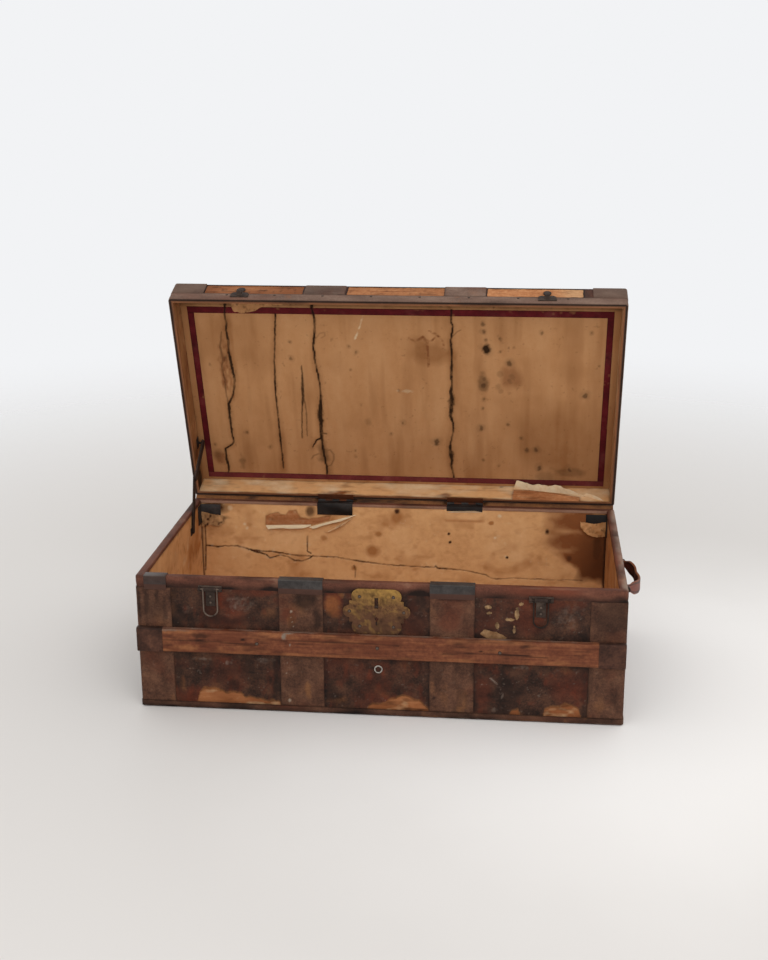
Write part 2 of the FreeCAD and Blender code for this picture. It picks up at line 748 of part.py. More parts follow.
def hinge_leaf(tag, centre, flange, plate_z, flange_z, turns):
    """One folded leaf: along the rim, down the inner face, with its own share of the knuckles."""
    width = about(centre, "hinge_width/2")
    edge = f"{HINGE_Y} - knuckle_radius - hinge_clear"
    pieces = [
        box(f"{tag}_plate", width, (f"{flange} - hinge_leaf", edge), plate_z),
        box(f"{tag}_flange", width, (f"{flange} - hinge_leaf", flange), flange_z),
    ]
    for turn in turns:
        low = f"{width[0]} + {turn}*hinge_width/{KNUCKLES} + hinge_clear/2"
        high = f"{width[0]} + {turn + 1}*hinge_width/{KNUCKLES} - hinge_clear/2"
        pieces.append(rod(f"{tag}_knuckle_{turn}", "X", (HINGE_Y, HINGE_Z), (low, high), "knuckle_radius"))
        pieces.append(box(f"{tag}_tab_{turn}", (low, high), (edge, HINGE_Y), plate_z))
    bore = rod(f"{tag}_bore", "X", (HINGE_Y, HINGE_Z), width, "hinge_pin_radius + hinge_bore_clear")
    return cut(f"{tag}_leaf", fuse(f"{tag}_blank", pieces), bore)


def make_hinges():
    case_leaves = []
    lid_leaves = []
    pins = []
    for side in ("left", "right"):
        centre = f"{side}_band_place"
        case_leaves.append(hinge_leaf(f"{side}_case_hinge", centre, f"({CLEAR_Y} - binding_thick)",
                                      ("case_height", "case_height + hinge_leaf"),
                                      ("case_height - hinge_flange", "case_height + hinge_leaf"),
                                      range(0, KNUCKLES, 2)))
        lid_leaves.append(hinge_leaf(f"{side}_lid_hinge", centre, LID_CLEAR_Y,
                                     (f"{LID_RIM} - hinge_leaf", LID_RIM),
                                     (f"{LID_RIM} - hinge_leaf", f"{LID_RIM} + hinge_flange"),
                                     range(1, KNUCKLES, 2)))
        low, high = about(centre, "hinge_width/2")
        axis = (HINGE_Y, HINGE_Z)
        heads = {"low": (f"{low} - hinge_head_length", low), "high": (high, f"{high} + hinge_head_length")}
        pin = [rod(f"{side}_pin_{end}_head", "X", axis, span, "hinge_head_radius")
               for end, span in heads.items()]
        pin.append(rod(f"{side}_pin_shaft", "X", axis, (low, high), "hinge_pin_radius"))
        pins.append(fuse(f"{side}_hinge_pin", pin))
    keep(group("case_hinge_leaves", case_leaves))
    keep(group("lid_hinge_leaves", lid_leaves, lid=True))
    keep(group("hinge_pins", pins))


def make_corner_irons():
    irons = []
    for name, side in (("left", -1), ("right", 1)):
        wall = f"{side}*{CLEAR_X}"
        section = [
            (wall, CLEAR_Y),
            (f"{side}*({CLEAR_X} - iron_back_leg)", CLEAR_Y),
            (f"{side}*({CLEAR_X} - iron_back_leg)", f"{CLEAR_Y} - iron_thick"),
            (f"{side}*({CLEAR_X} - iron_thick)", f"{CLEAR_Y} - iron_thick"),
            (f"{side}*({CLEAR_X} - iron_thick)", f"{CLEAR_Y} - iron_side_leg"),
            (wall, f"{CLEAR_Y} - iron_side_leg"),
        ]
        low = "case_height - iron_drop"
        irons.append(prism(f"{name}_iron", "XY", [section], (low, f"{low} + iron_height")))
    keep(group("corner_irons", irons))


def stay_arm(label, start, end, layer):
    """A flat arm with round ends and a pin hole, laid from its pivot towards the knee."""
    run = f"({end[0]} - {start[0]})"
    rise = f"({end[1]} - {start[1]})"
    length = f"sqrt({run}^2 + {rise}^2)"
    half = "stay_width/2"
    round_end = "0.49*stay_width"
    outline = [(f"-{half}", f"-{half}", round_end), (f"{length} + {half}", f"-{half}", round_end),
               (f"{length} + {half}", half, round_end), (f"-{half}", half, round_end)]
    hole = (("0", "0"), "stay_pin_radius + pin_clear")
    arm = prism(label, "YZ", [outline], ("0", "stay_thick"), holes=[hole])
    angle = f"atan2({rise}; {run})"
    arm.Placement = Placement(Vector(), Rotation(Vector(1, 0, 0), value(angle)))
    bind(arm, "Placement.Rotation.Angle", angle)
    place(arm, layer, *start)
    return keep(arm)


def stay_bracket(label, at, layers, lid=False):
    """A small plate on the wall with the headed pin that an arm turns on."""
    wall = f"-{LID_CLEAR_X}" if lid else f"-{CLEAR_X}"
    shank = f"-{CLEAR_X} + stay_plate_thick + {layers}*(stay_thick + stay_clear) + stay_clear"
    keep(fuse(label, [
        box(f"{label}_plate", (wall, f"{wall} + stay_plate_thick"),
            about(at[0], "stay_plate_length/2"), about(at[1], "stay_plate_height/2")),
        rod(f"{label}_pin", "X", at, (wall, shank), "stay_pin_radius"),
        rod(f"{label}_head", "X", at, (shank, f"{shank} + stay_head_thick"), "stay_head_radius"),
    ], lid))


def make_stay():
    foot = (f"({HINGE_Y} - stay_foot_reach)", f"({HINGE_Z} - stay_foot_drop)")
    knee = (f"({HINGE_Y} - stay_knee_reach)", f"({HINGE_Z} + stay_knee_rise)")
    lid_pin = (f"({HINGE_Y} - stay_lid_reach)", f"({HINGE_Z} + stay_lid_rise)")
    first = f"-{CLEAR_X} + stay_plate_thick + stay_clear"
    second = f"{first} + stay_thick + stay_clear"
    stay_bracket("stay_case_bracket", foot, 1)
    stay_bracket("stay_lid_bracket", lid_pin, 2, lid=True)
    stay_arm("stay_lower_arm", foot, knee, first)
    stay_arm("stay_upper_arm", opened(*lid_pin), knee, second)
    face = f"{second} + stay_thick"
    keep(rod("stay_knee_rivet", "X", knee, (face, f"{face} + stay_head_thick"), "stay_head_radius"))


def make_lid_woodwork():
    walls = (LID_WALL_FOOT, LID_WALL_TOP)
    for name, side in (("front", -1), ("back", 1)):
        board = rebated_board(f"lid_{name}_board", side, walls, "lid_wall_board")
        swing(board, True)
        keep(board)
    keep(end_board("lid_left_board", -1, walls, "lid_wall_board", lid=True))
    keep(end_board("lid_right_board", 1, walls, "lid_wall_board", lid=True))
    joints = [f"case_length*top_joint_{turn}_share" for turn in ("one", "two", "three", "four")]
    edges = [f"-{BOARD_X}", *joints, BOARD_X]
    last = len(edges) - 2
    for i, (low, high) in enumerate(zip(edges, edges[1:])):
        low_round = BOARD_RADIUS if i == 0 else None
        high_round = BOARD_RADIUS if i == last else None
        outline = [(low, f"-{BOARD_Y}", low_round), (high, f"-{BOARD_Y}", high_round),
                   (high, BOARD_Y, high_round), (low, BOARD_Y, low_round)]
        span = (LID_WALL_TOP, f"{LID_TOP} - canvas_thick")
        keep(prism(f"lid_top_board_{i + 1}", "XY", [outline], span, lid=True))


def tape_frame(inset):
    """One edge of the tape round the panel, which lies further from the front wall than from the others."""
    end = f"({LID_CLEAR_X} - tape_end_margin - {inset})"
    front = f"-({LID_CLEAR_Y} - tape_front_margin - {inset})"
    back = f"({LID_CLEAR_Y} - tape_back_margin - {inset})"
    return [(f"-{end}", front), (end, front), (end, back), (f"-{end}", back)]


def make_lid_coverings():
    along, across = f"({LID_CLEAR_X} + paper_thick)", f"({LID_CLEAR_Y} + paper_thick)"
    outside = box("lid_lining_outside", (f"-{along}", along), (f"-{across}", across), (LID_WALL_FOOT, LID_WALL_TOP))
    hollow = box("lid_lining_hollow", (f"-{LID_CLEAR_X}", LID_CLEAR_X), (f"-{LID_CLEAR_Y}", LID_CLEAR_Y),
                 (LID_RIM, PANEL))
    keep(cut("lid_lining", outside, hollow, lid=True))
    frames = [tape_frame("0"), tape_frame("tape_width")]
    keep(prism("lid_border_tape", "XY", frames, (f"{PANEL} - tape_thick", PANEL), lid=True))

    skin = prism("lid_canvas_outside", "XY", [rectangle(HALF_L, HALF_W, "corner_radius")],
                 (LID_WALL_FOOT, LID_TOP))
    wood = prism("lid_canvas_inside", "XY", [rectangle(BOARD_X, BOARD_Y, BOARD_RADIUS)],
                 (LID_RIM, f"{LID_TOP} - canvas_thick"))
    keep(cut("lid_canvas", skin, wood, lid=True))

    bound = (f"{HALF_L} + binding_thick", f"{HALF_W} + binding_thick", "corner_radius + binding_thick")
    keep(fuse("lid_rim_strip", [
        ring("lid_strip_face", bound, (HALF_L, HALF_W, "corner_radius"), (LID_RIM, LID_STRIP_TOP)),
        ring("lid_strip_edge", bound, (LID_CLEAR_X, LID_CLEAR_Y), (LID_RIM, LID_WALL_FOOT)),
    ], lid=True))


def make_lid_leather():
    outer = f"({HALF_W} + leather_thick)"
    section = [
        (f"-{outer}", LID_STRIP_TOP),
        (f"-{HALF_W}", LID_STRIP_TOP),
        (f"-{HALF_W}", LID_TOP),
        (HALF_W, LID_TOP),
        (HALF_W, LID_STRIP_TOP),
        (outer, LID_STRIP_TOP),
        (outer, f"{LID_TOP} + leather_thick"),
        (f"-{outer}", f"{LID_TOP} + leather_thick"),
    ]
    for side in ("left", "right"):
        span = about(f"{side}_band_place", "band_width/2")
        keep(prism(f"lid_band_{side}", "YZ", [section], span, lid=True))
    outline = rectangle(f"{HALF_L} + leather_thick", f"{HALF_W} + leather_thick",
                        "corner_radius + leather_thick")
    cover = prism("lid_cap_outside", "XY", [outline], (LID_STRIP_TOP, f"{LID_TOP} + leather_thick"))
    core = prism("lid_cap_inside", "XY", [rectangle(HALF_L, HALF_W, "corner_radius")], (LID_RIM, LID_TOP))
    shell = cut("lid_cap_shell", cover, core)
    keep(common("lid_corner_caps", shell, corner_blocks("lid_corner", LID_RIM, f"{LID_TOP} + corner_reach"),
                lid=True))
    level = f"{LID_STRIP_TOP} - lid_nail_drop"
    pitch = f"({HALF_L} - lid_nail_inset)/({LID_NAILS} - 1/2)"
    nails = [stud(f"lid_nail_{i}", f"({i} + 1/2)*{pitch}", f"-{METAL_BACK}", level)
             for i in range(-LID_NAILS, LID_NAILS)]
    keep(group("lid_nails", nails, lid=True))


def write_parts():
    """Check every object, then write one file for each piece."""
    doc.recompute()
    failed = [item.Name for item in doc.Objects if {"Invalid", "Error"} & set(item.State)]
    bad = [item.Name for item in nodes if item.Shape.isNull() or not item.Shape.isValid()]
    if failed or bad:
        raise RuntimeError(f"failed objects {failed}, bad shapes {bad}")
    os.makedirs("parts", exist_ok=True)
    for item in nodes:
        item.Shape.exportStep(f"parts/{item.Label}.step")
        print(item.Label, len(item.Shape.Solids), round(item.Shape.Volume))


fill_sheet()
make_case_woodwork()
make_case_coverings()
make_case_leather()
make_slats()
make_rim_clips()
make_lock()
keep(group("catch_rivets", make_catch("left") + make_catch("right")))
make_eyelet()
make_handle("left", -1)
make_handle("right", 1)
make_hinges()
make_corner_irons()
make_stay()
make_lid_woodwork()
make_lid_coverings()
make_lid_leather()
write_parts()
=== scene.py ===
import json
import logging
import math
from dataclasses import dataclass
from enum import Enum
from functools import lru_cache
from itertools import product
from typing import Callable, Optional, Sequence

import bpy
import numpy as np
from mathutils import Matrix, Vector


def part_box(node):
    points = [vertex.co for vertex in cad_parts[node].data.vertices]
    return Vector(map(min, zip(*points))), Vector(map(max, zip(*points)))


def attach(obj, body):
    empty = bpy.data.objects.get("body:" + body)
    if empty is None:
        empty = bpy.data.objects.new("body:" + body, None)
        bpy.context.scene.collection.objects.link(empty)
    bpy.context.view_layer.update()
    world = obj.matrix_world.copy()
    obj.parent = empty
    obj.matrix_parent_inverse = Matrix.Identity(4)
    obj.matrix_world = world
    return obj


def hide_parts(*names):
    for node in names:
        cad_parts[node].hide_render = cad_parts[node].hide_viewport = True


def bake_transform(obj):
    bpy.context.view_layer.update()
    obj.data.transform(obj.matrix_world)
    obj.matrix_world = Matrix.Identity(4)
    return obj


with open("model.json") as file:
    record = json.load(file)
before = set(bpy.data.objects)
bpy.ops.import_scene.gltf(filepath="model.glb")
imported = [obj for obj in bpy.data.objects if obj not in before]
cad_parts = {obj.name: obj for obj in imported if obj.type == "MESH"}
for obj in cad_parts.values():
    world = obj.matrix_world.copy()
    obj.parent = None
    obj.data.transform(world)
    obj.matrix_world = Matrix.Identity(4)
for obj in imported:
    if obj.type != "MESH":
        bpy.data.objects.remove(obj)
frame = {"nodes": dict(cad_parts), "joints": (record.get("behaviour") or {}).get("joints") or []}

# A worn travelling trunk: canvas over pine, leather bands, a slat, brass lock and iron catches.
# Sizes are millimetres until a mesh is written. Lid pieces are laid out shut and then swung open.

LOG = logging.getLogger("trunk")
MM = 0.001
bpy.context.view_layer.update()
HINGE = next(joint for joint in frame["joints"] if joint["name"] == "lid_hinge")
PIVOT = np.array(HINGE["pos_m"]) / MM
OPEN_ANGLE = math.radians(HINGE["range_deg"][1])
TURN = np.array([
    [1, 0, 0],
    [0, math.cos(OPEN_ANGLE), math.sin(OPEN_ANGLE)],
    [0, -math.sin(OPEN_ANGLE), math.cos(OPEN_ANGLE)],
])

Pair = tuple[float, float]
Triple = tuple[float, float, float]
Box = tuple[float, float, float, float]
Array = np.ndarray
Piece = bpy.types.Object
Field = Callable[[Array, Array], Array]
Place = Callable[[Array, Array], tuple[Array, Array]]

# Directions
RIGHT, LEFT = (1, 0, 0), (-1, 0, 0)
BACK, FRONT = (0, 1, 0), (0, -1, 0)
UP = (0, 0, 1)

# Thicknesses, and how far leather and lid reach
CANVAS = 1.2
PAPER = 0.8
LEATHER = 1.6
LID_BOARD = 6.0
TOP_BOARD = 12.0
LID_DEPTH = 64.0
RIM_GAP = 3.0
STRIP_HEIGHT = 25.0
CORNER = 4.0
CORNER_REACH = 65.0
BAND_HALF = 41.0
SMOOTH_ANGLE = math.radians(38)


def edge_of(node: str, axis: int, end: int = 1) -> float:
    """Where a CAD node ends along an axis, at its high or low end, to a tenth of a millimetre."""
    return round(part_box(node)[end][axis] / MM, 1)


# The trunk's own faces and levels
HALF_LENGTH = edge_of("case_canvas", 0)
HALF_WIDTH = edge_of("case_canvas", 1)
CASE_HEIGHT = edge_of("rim_binding", 2)
BASE_TOP = edge_of("base_binding", 2)
BAND_TOP = edge_of("front_bands", 2)
FLOOR = round(edge_of("case_floor_board", 2) + PAPER, 1)
CLEAR_X = round(edge_of("case_lining", 0) - PAPER, 1)
CLEAR_Y = round(edge_of("case_lining", 1) - PAPER, 1)
RIM = CASE_HEIGHT + RIM_GAP
STRIP_TOP = RIM + STRIP_HEIGHT
LID_TOP = RIM + LID_DEPTH
PANEL = round(LID_TOP - CANVAS - TOP_BOARD - PAPER, 1)
LID_CLEAR_X = round(HALF_LENGTH - CANVAS - LID_BOARD - PAPER, 1)
LID_CLEAR_Y = round(HALF_WIDTH - CANVAS - LID_BOARD - PAPER, 1)
BAND_PLACES = {"left": edge_of("front_bands", 0, 0) + BAND_HALF,
               "right": edge_of("front_bands", 0) - BAND_HALF}


class Wear(Enum):
    """What has happened to a surface, in the order that a piece stores it."""

    BARE = 0
    GRIME = 1
    DUST = 2
    TINT = 3


BARE, GRIME, DUST, TINT = Wear
# A ragged mark: its kind, middle along and across, half width, half height and strength.
Mark = tuple[Wear, float, float, float, float, float]


def unit(value: Array) -> Array:
    """Cut to the range from 0 to 1."""
    return np.clip(value, 0, 1)


def lattice_value(cell: Array, seed: int) -> Array:
    """Give every lattice cell a value from 0 to 1 that never changes.

    Args:
        cell: Whole-number cells, three to a row.
        seed: Picks one of many such fields.

    Returns:
        One value for each cell.
    """
    whole = cell.astype(np.int64).astype(np.uint64)
    mixed = whole[:, 0] * np.uint64(73856093) ^ whole[:, 1] * np.uint64(19349663)
    mixed = mixed ^ whole[:, 2] * np.uint64(83492791) ^ np.uint64(seed * 2654435761 + 97)
    mixed = (mixed ^ (mixed >> np.uint64(15))) * np.uint64(2246822519)
    mixed = (mixed ^ (mixed >> np.uint64(13))) * np.uint64(3266489917)
    return ((mixed >> np.uint64(16)) & np.uint64(0xFFFF)).astype(float) / 65535.0


def rough(a: Array, b: Array, size: float, seed: int, octaves: int = 3) -> Array:
    """Uneven values from -1 to 1 over a flat layout.

    Args:
        a: Places along the layout, in millimetres.
        b: Places across the layout, in millimetres.
        size: Width of the largest bumps, in millimetres.
        seed: Picks one of many such fields.
        octaves: How many finer layers are added up.

    Returns:
        One value for each place.
    """
    total = np.zeros(len(a))
    weight = 0.0
    for layer in range(octaves):
        scale, share = 2.0 ** layer / size, 0.5 ** layer
        spot = np.stack([a * scale + 0.37 * layer, b * scale - 0.61 * layer], axis=1)
        cell = np.floor(spot)
        part = spot - cell
        part = part * part * (3 - 2 * part)
        for corner in product((0, 1), repeat=2):
            reach = np.where(corner, part, 1 - part).prod(axis=1)
            whole = np.column_stack([cell + corner, np.full(len(a), layer)])
            total += share * reach * lattice_value(whole + 4096, seed)
        weight += share
    return total / weight * 2 - 1


def seam(a: Array, b: Array, line: Sequence[Triple], soft: float = 1.2, wide: float = 1.0) -> Array:
    """One on a line of uneven width, falling to nothing beside it.

    Args:
        a: Places along the layout.
        b: Places across the layout.
        line: The line's points, each with half its width there.
        soft: How far it takes to fade out.
        wide: Makes the whole line wider or thinner.

    Returns:
        One value for each place.
    """
    best = np.zeros(len(a))
    for (a0, b0, w0), (a1, b1, w1) in zip(line, line[1:]):
        run, rise = a1 - a0, b1 - b0
        share = unit(((a - a0) * run + (b - b0) * rise) / (run * run + rise * rise))
        away = np.hypot(a - a0 - share * run, b - b0 - share * rise)
        best = np.maximum(best, 1 - (away - wide * (w0 + share * (w1 - w0))) / soft)
    return unit(best)


def inside(a: Array, b: Array, ring: Sequence[Pair]) -> Array:
    """Signed distance to a closed outline, below zero inside it.

    Args:
        a: Places along the layout.
        b: Places across the layout.
        ring: The outline's corners.

    Returns:
        One distance for each place.
    """
    closed = [*ring, ring[0]]
    within = np.zeros(len(a), bool)
    gap = np.full(len(a), 1e9)
    for (a0, b0), (a1, b1) in zip(closed, closed[1:]):
        run, rise = a1 - a0, b1 - b0
        share = unit(((a - a0) * run + (b - b0) * rise) / (run * run + rise * rise))
        gap = np.minimum(gap, np.hypot(a - a0 - share * run, b - b0 - share * rise))
        if rise:
            within ^= ((b0 > b) != (b1 > b)) & (a < run * (b - b0) / rise + a0)
    return np.where(within, -gap, gap)


def spot(a: Array, b: Array, centre: Pair, size: Pair, ragged: float = 0.3, seed: int = 3) -> Array:
    """A ragged round mark: one in its middle, nothing outside.

    Args:
        a: Places along the layout.
        b: Places across the layout.
        centre: Middle of the mark.
        size: Its half width and half height.
        ragged: How uneven its edge is.
        seed: Picks the unevenness.

    Returns:
        Its strength at each place, from 0 to 1.
    """
    away = np.hypot((a - centre[0]) / size[0], (b - centre[1]) / size[1])
    return unit((1 - away) * 1.6 + ragged * rough(a, b, max(4.0, min(size)), seed) * (away < 1.3))


def rim_of(a: Array, b: Array, span: Sequence[float], reach: float) -> Array:
    """One at the border of a layout, falling to nothing further in."""
    within = np.minimum(np.minimum(a - span[0], span[1] - a), np.minimum(b - span[2], span[3] - b))
    return unit(1 - within / reach)


def patchy(a: Array, b: Array, size: float, seed: int, floor: float = 0.0) -> Array:
    """Uneven patches from 0 to 1, fewer of them where the floor is higher."""
    return unit((rough(a, b, size, seed) - floor) / (0.7 - floor))


class Stain:
    """Wear of one sheet, added up kind by kind."""

    def __init__(self, a: Array, b: Array, ragged: float = 0.5, seed: int = 1) -> None:
        """Start clean.

        Args:
            a: Places along the layout.
            b: Places across the layout.
            ragged: How uneven the edges of its marks are.
            seed: Picks the unevenness.
        """
        self.a, self.b, self.ragged, self.seed = a, b, ragged, seed
        self.kinds = {kind: np.zeros(len(a)) for kind in Wear}

    def add(self, kind: Wear, more: Array) -> None:
        """Put more of one kind on top."""
        self.kinds[kind] = self.kinds[kind] + more

    def over(self, kind: Wear, least: Array) -> None:
        """Bring one kind up to at least this strength."""
        self.kinds[kind] = np.maximum(self.kinds[kind], least)

    def marks(self, marks: Sequence[Mark], share: float = 1.0) -> None:
        """Put on ragged marks from a list, all of them made stronger or weaker by a share.

        Args:
            marks: What is put on.
            share: How strongly it is put on.
        """
        for i, (kind, x, z, wide, tall, strength) in enumerate(marks):
            shape = spot(self.a, self.b, (x, z), (wide, tall), self.ragged, self.seed + i)
            self.over(kind, share * strength * shape)

    def masks(self) -> Array:
        """The four kinds side by side, each cut to the range from 0 to 1."""
        return unit(np.stack([self.kinds[kind] for kind in Wear], axis=1))


def masks(count: int, bare: object = 0.0, grime: object = 0.0, dust: object = 0.0,
          tint: object = 0.0) -> Array:
    """Four kinds of wear side by side, each cut to the range from 0 to 1."""
    return unit(np.stack([np.broadcast_to(kind, (count,)) for kind in (bare, grime, dust, tint)], axis=1))


@dataclass(frozen=True)
class Wall:
    """A flat face that a sheet lies on, given by one point and two directions."""

    origin: Triple
    along: Triple
    across: Triple

    def __call__(self, a: Array, b: Array) -> tuple[Array, Array]:
        """Points of the face and the directions that look away from it.

        Args:
            a: Places along the face.
            b: Places across the face.

        Returns:
            Points and unit directions, one row for each place.
        """
        points = np.array(self.origin) + np.outer(a, self.along) + np.outer(b, self.across)
        facing = np.cross(self.along, self.across)
        return points, np.broadcast_to(facing, points.shape)


class Line:
    """Straight runs with rounded corners, followed by length."""

    def __init__(self, corners: Sequence[Pair], radius: float = 0.0, closed: bool = False) -> None:
        """Round the corners off.

        Args:
            corners: The corners in order.
            radius: Radius of every corner that is passed.
            closed: Whether the last run comes back to the first corner.
        """
        places = [np.array(corner, float) for corner in corners]
        points: list[Array] = []
        for i, corner in enumerate(places):
            if radius == 0 or (not closed and i in (0, len(places) - 1)):
                points.append(corner)
                continue
            back, ahead = places[i - 1] - corner, places[(i + 1) % len(places)] - corner
            back, ahead = back / np.linalg.norm(back), ahead / np.linalg.norm(ahead)
            half = math.acos(max(-1.0, min(1.0, float(back @ ahead)))) / 2
            hub = corner + (back + ahead) / np.linalg.norm(back + ahead) * radius / math.sin(half)
            start, end = corner + back * radius / math.tan(half), corner + ahead * radius / math.tan(half)
            for share in np.linspace(0, 1, 9):
                spoke = (start - hub) * (1 - share) + (end - hub) * share
                points.append(hub + spoke / np.linalg.norm(spoke) * radius)
        if closed:
            points.append(points[0])
        self.points = np.array(points)
        self.marks = np.concatenate([[0], np.cumsum(np.linalg.norm(np.diff(self.points, axis=0), axis=1))])
        self.length = float(self.marks[-1])
        self.closed = closed

    def at(self, s: Array) -> Array:
        """Points at lengths along the line.

        Args:
            s: Lengths from the start.

        Returns:
            Points, one row each.
        """
        if self.closed:
            s = np.mod(s, self.length)
        return np.stack([np.interp(s, self.marks, self.points[:, i]) for i in (0, 1)], axis=1)

    def heading(self, s: Array) -> Array:
        """Unit directions of travel at lengths along the line.

        Args:
            s: Lengths from the start.

        Returns:
            Directions, one row each.
        """
        step = 0.2
        low, high = (s - step, s + step) if self.closed else (np.maximum(s - step, 0),
                                                              np.minimum(s + step, self.length))
        run = self.at(high) - self.at(low)
        return run / np.linalg.norm(run, axis=1, keepdims=True)


@dataclass(frozen=True)
class PlanWrap:
    """A sheet that follows a line in plan and stands straight up."""

    line: Line

    def __call__(self, a: Array, b: Array) -> tuple[Array, Array]:
        """Points and outward directions for lengths along the plan and heights.

        Args:
            a: Lengths along the plan.
            b: Heights.

        Returns:
            Points and directions, one row each.
        """
        plan, run = self.line.at(a), self.line.heading(a)
        facing = np.column_stack([run[:, 1], -run[:, 0], np.zeros(len(a))])
        return np.column_stack([plan, b]), facing


@dataclass(frozen=True)
class SectionWrap:
    """A sheet that follows a line in section and runs straight along the trunk."""

    line: Line

    def __call__(self, a: Array, b: Array) -> tuple[Array, Array]:
        """Points and outward directions for places along the trunk and lengths of the section.

        Args:
            a: Places along the trunk.
            b: Lengths along the section.

        Returns:
            Points and directions, one row each.
        """
        section, run = self.line.at(b), self.line.heading(b)
        facing = np.column_stack([np.zeros(len(a)), -run[:, 1], run[:, 0]])
        return np.column_stack([a, section]), facing


@dataclass(frozen=True)
class Moulding:
    """A binding with one section carried right round a rectangle, its corners rounded."""

    section: Line

    @property
    def plan(self) -> Line:
        """The rectangle that the section is carried round."""
        x, y = HALF_LENGTH, HALF_WIDTH
        return Line([(-x, -y), (x, -y), (x, y), (-x, y)], CORNER, closed=True)

    def __call__(self, a: Array, b: Array) -> tuple[Array, Array]:
        """Points and outward directions for lengths round the plan and along the section.

        Args:
            a: Lengths round the plan.
            b: Lengths along the section, whose first value is the distance out of the plan.

        Returns:
            Points and unit directions, one row for each place.
        """
        plan = self.plan
        base, run = plan.at(a), plan.heading(a)
        out = np.column_stack([run[:, 1], -run[:, 0]])
        section, slope = self.section.at(b), self.section.heading(b)
        spread = section[:, :1]
        level = np.array([HALF_LENGTH, HALF_WIDTH]) + spread
        flat = np.clip(base + out * spread, -level, level)
        facing = np.column_stack([out * slope[:, 1:], -slope[:, 0]])
        return np.column_stack([flat, section[:, 1]]), facing


def opened(points: Array) -> Array:
    """Points of the shut lid where they are once it stands open."""
    return (points - PIVOT) @ TURN.T + PIVOT


def read_points(obj: Piece) -> Array:
    """The mesh's points, one row each.

    Args:
        obj: The piece.

    Returns:
        Their places.
    """
    flat = np.empty(len(obj.data.vertices) * 3)
    obj.data.vertices.foreach_get("co", flat)
    return flat.reshape(-1, 3)


def write_points(obj: Piece, points: Array) -> None:
    """Put the mesh's points in new places."""
    obj.data.vertices.foreach_set("co", np.asarray(points, float).ravel())
    obj.data.update()


def set_wear(obj: Piece, wear: Array) -> None:
    """Store the four kinds of wear on the mesh's points, where its finish reads them."""
    layer = obj.data.attributes.get("wear") or obj.data.attributes.new("wear", "FLOAT_COLOR", "POINT")
    layer.data.foreach_set("color", np.asarray(wear, np.float32).ravel())


def set_lay(obj: Piece, places: Array) -> None:
    """Store where the mesh's points lie on its layout, in metres."""
    layer = obj.data.attributes.get("lay") or obj.data.attributes.new("lay", "FLOAT_VECTOR", "POINT")
    layer.data.foreach_set("vector", np.asarray(places, np.float32).ravel())


def pick(*objects: Piece) -> None:
    """Select these objects and nothing else, the last one active.

    Args:
        objects: What is selected.
    """
    if bpy.context.mode != "OBJECT":
        bpy.ops.object.mode_set(mode="OBJECT")
    bpy.ops.object.select_all(action="DESELECT")
    for obj in objects:
        obj.select_set(True)
        bpy.context.view_layer.objects.active = obj


def named(name: str) -> Piece:
    """The object that an operator has just added, under its own name.

    Args:
        name: Its new name.

    Returns:
        The object.
    """
    obj = bpy.context.object
    obj.name = obj.data.name = name
    return obj


def finish_with(obj: Piece, kind: str, **settings: object) -> None:
    """Add a modifier and apply it.

    Args:
        obj: The piece.
        kind: The modifier's type.
        settings: Its properties.
    """
    modifier = obj.modifiers.new(kind.title(), kind)
    for key, value in settings.items():
        setattr(modifier, key, value)
    pick(obj)
    bpy.ops.object.modifier_apply(modifier=modifier.name)


def merge_points(obj: Piece, reach: float = 1e-5) -> None:
    """Close seams where points lie on each other.

    Args:
        obj: The piece.
        reach: Largest gap that is closed.
    """
    pick(obj)
    bpy.ops.object.mode_set(mode="EDIT")
    bpy.ops.mesh.select_all(action="SELECT")
    bpy.ops.mesh.remove_doubles(threshold=reach)
    bpy.ops.object.mode_set(mode="OBJECT")


def smooth(obj: Piece) -> None:
    """Shade smooth, with the sharp edges kept."""
    pick(obj)
    bpy.ops.object.shade_smooth_by_angle(angle=SMOOTH_ANGLE)


def delete_faces(obj: Piece, doomed: Array) -> None:
    """Cut faces out of a mesh.

    Args:
        obj: The piece.
        doomed: True for every face that goes.
    """
    pick(obj)
    bpy.ops.object.mode_set(mode="EDIT")
    bpy.ops.mesh.select_mode(type="FACE")
    bpy.ops.mesh.select_all(action="DESELECT")
    bpy.ops.object.mode_set(mode="OBJECT")
    obj.data.polygons.foreach_set("select", doomed)
    bpy.ops.object.mode_set(mode="EDIT")
    bpy.ops.mesh.delete(type="FACE")
    bpy.ops.object.mode_set(mode="OBJECT")


def join(name: str, pieces: Sequence[Piece]) -> Piece:
    """Make one piece of several.

    Args:
        name: Name of the new piece.
        pieces: What it is made of.

    Returns:
        The piece.
    """
    pick(*pieces)
    if len(pieces) > 1:
        bpy.ops.object.join()
    return named(name)


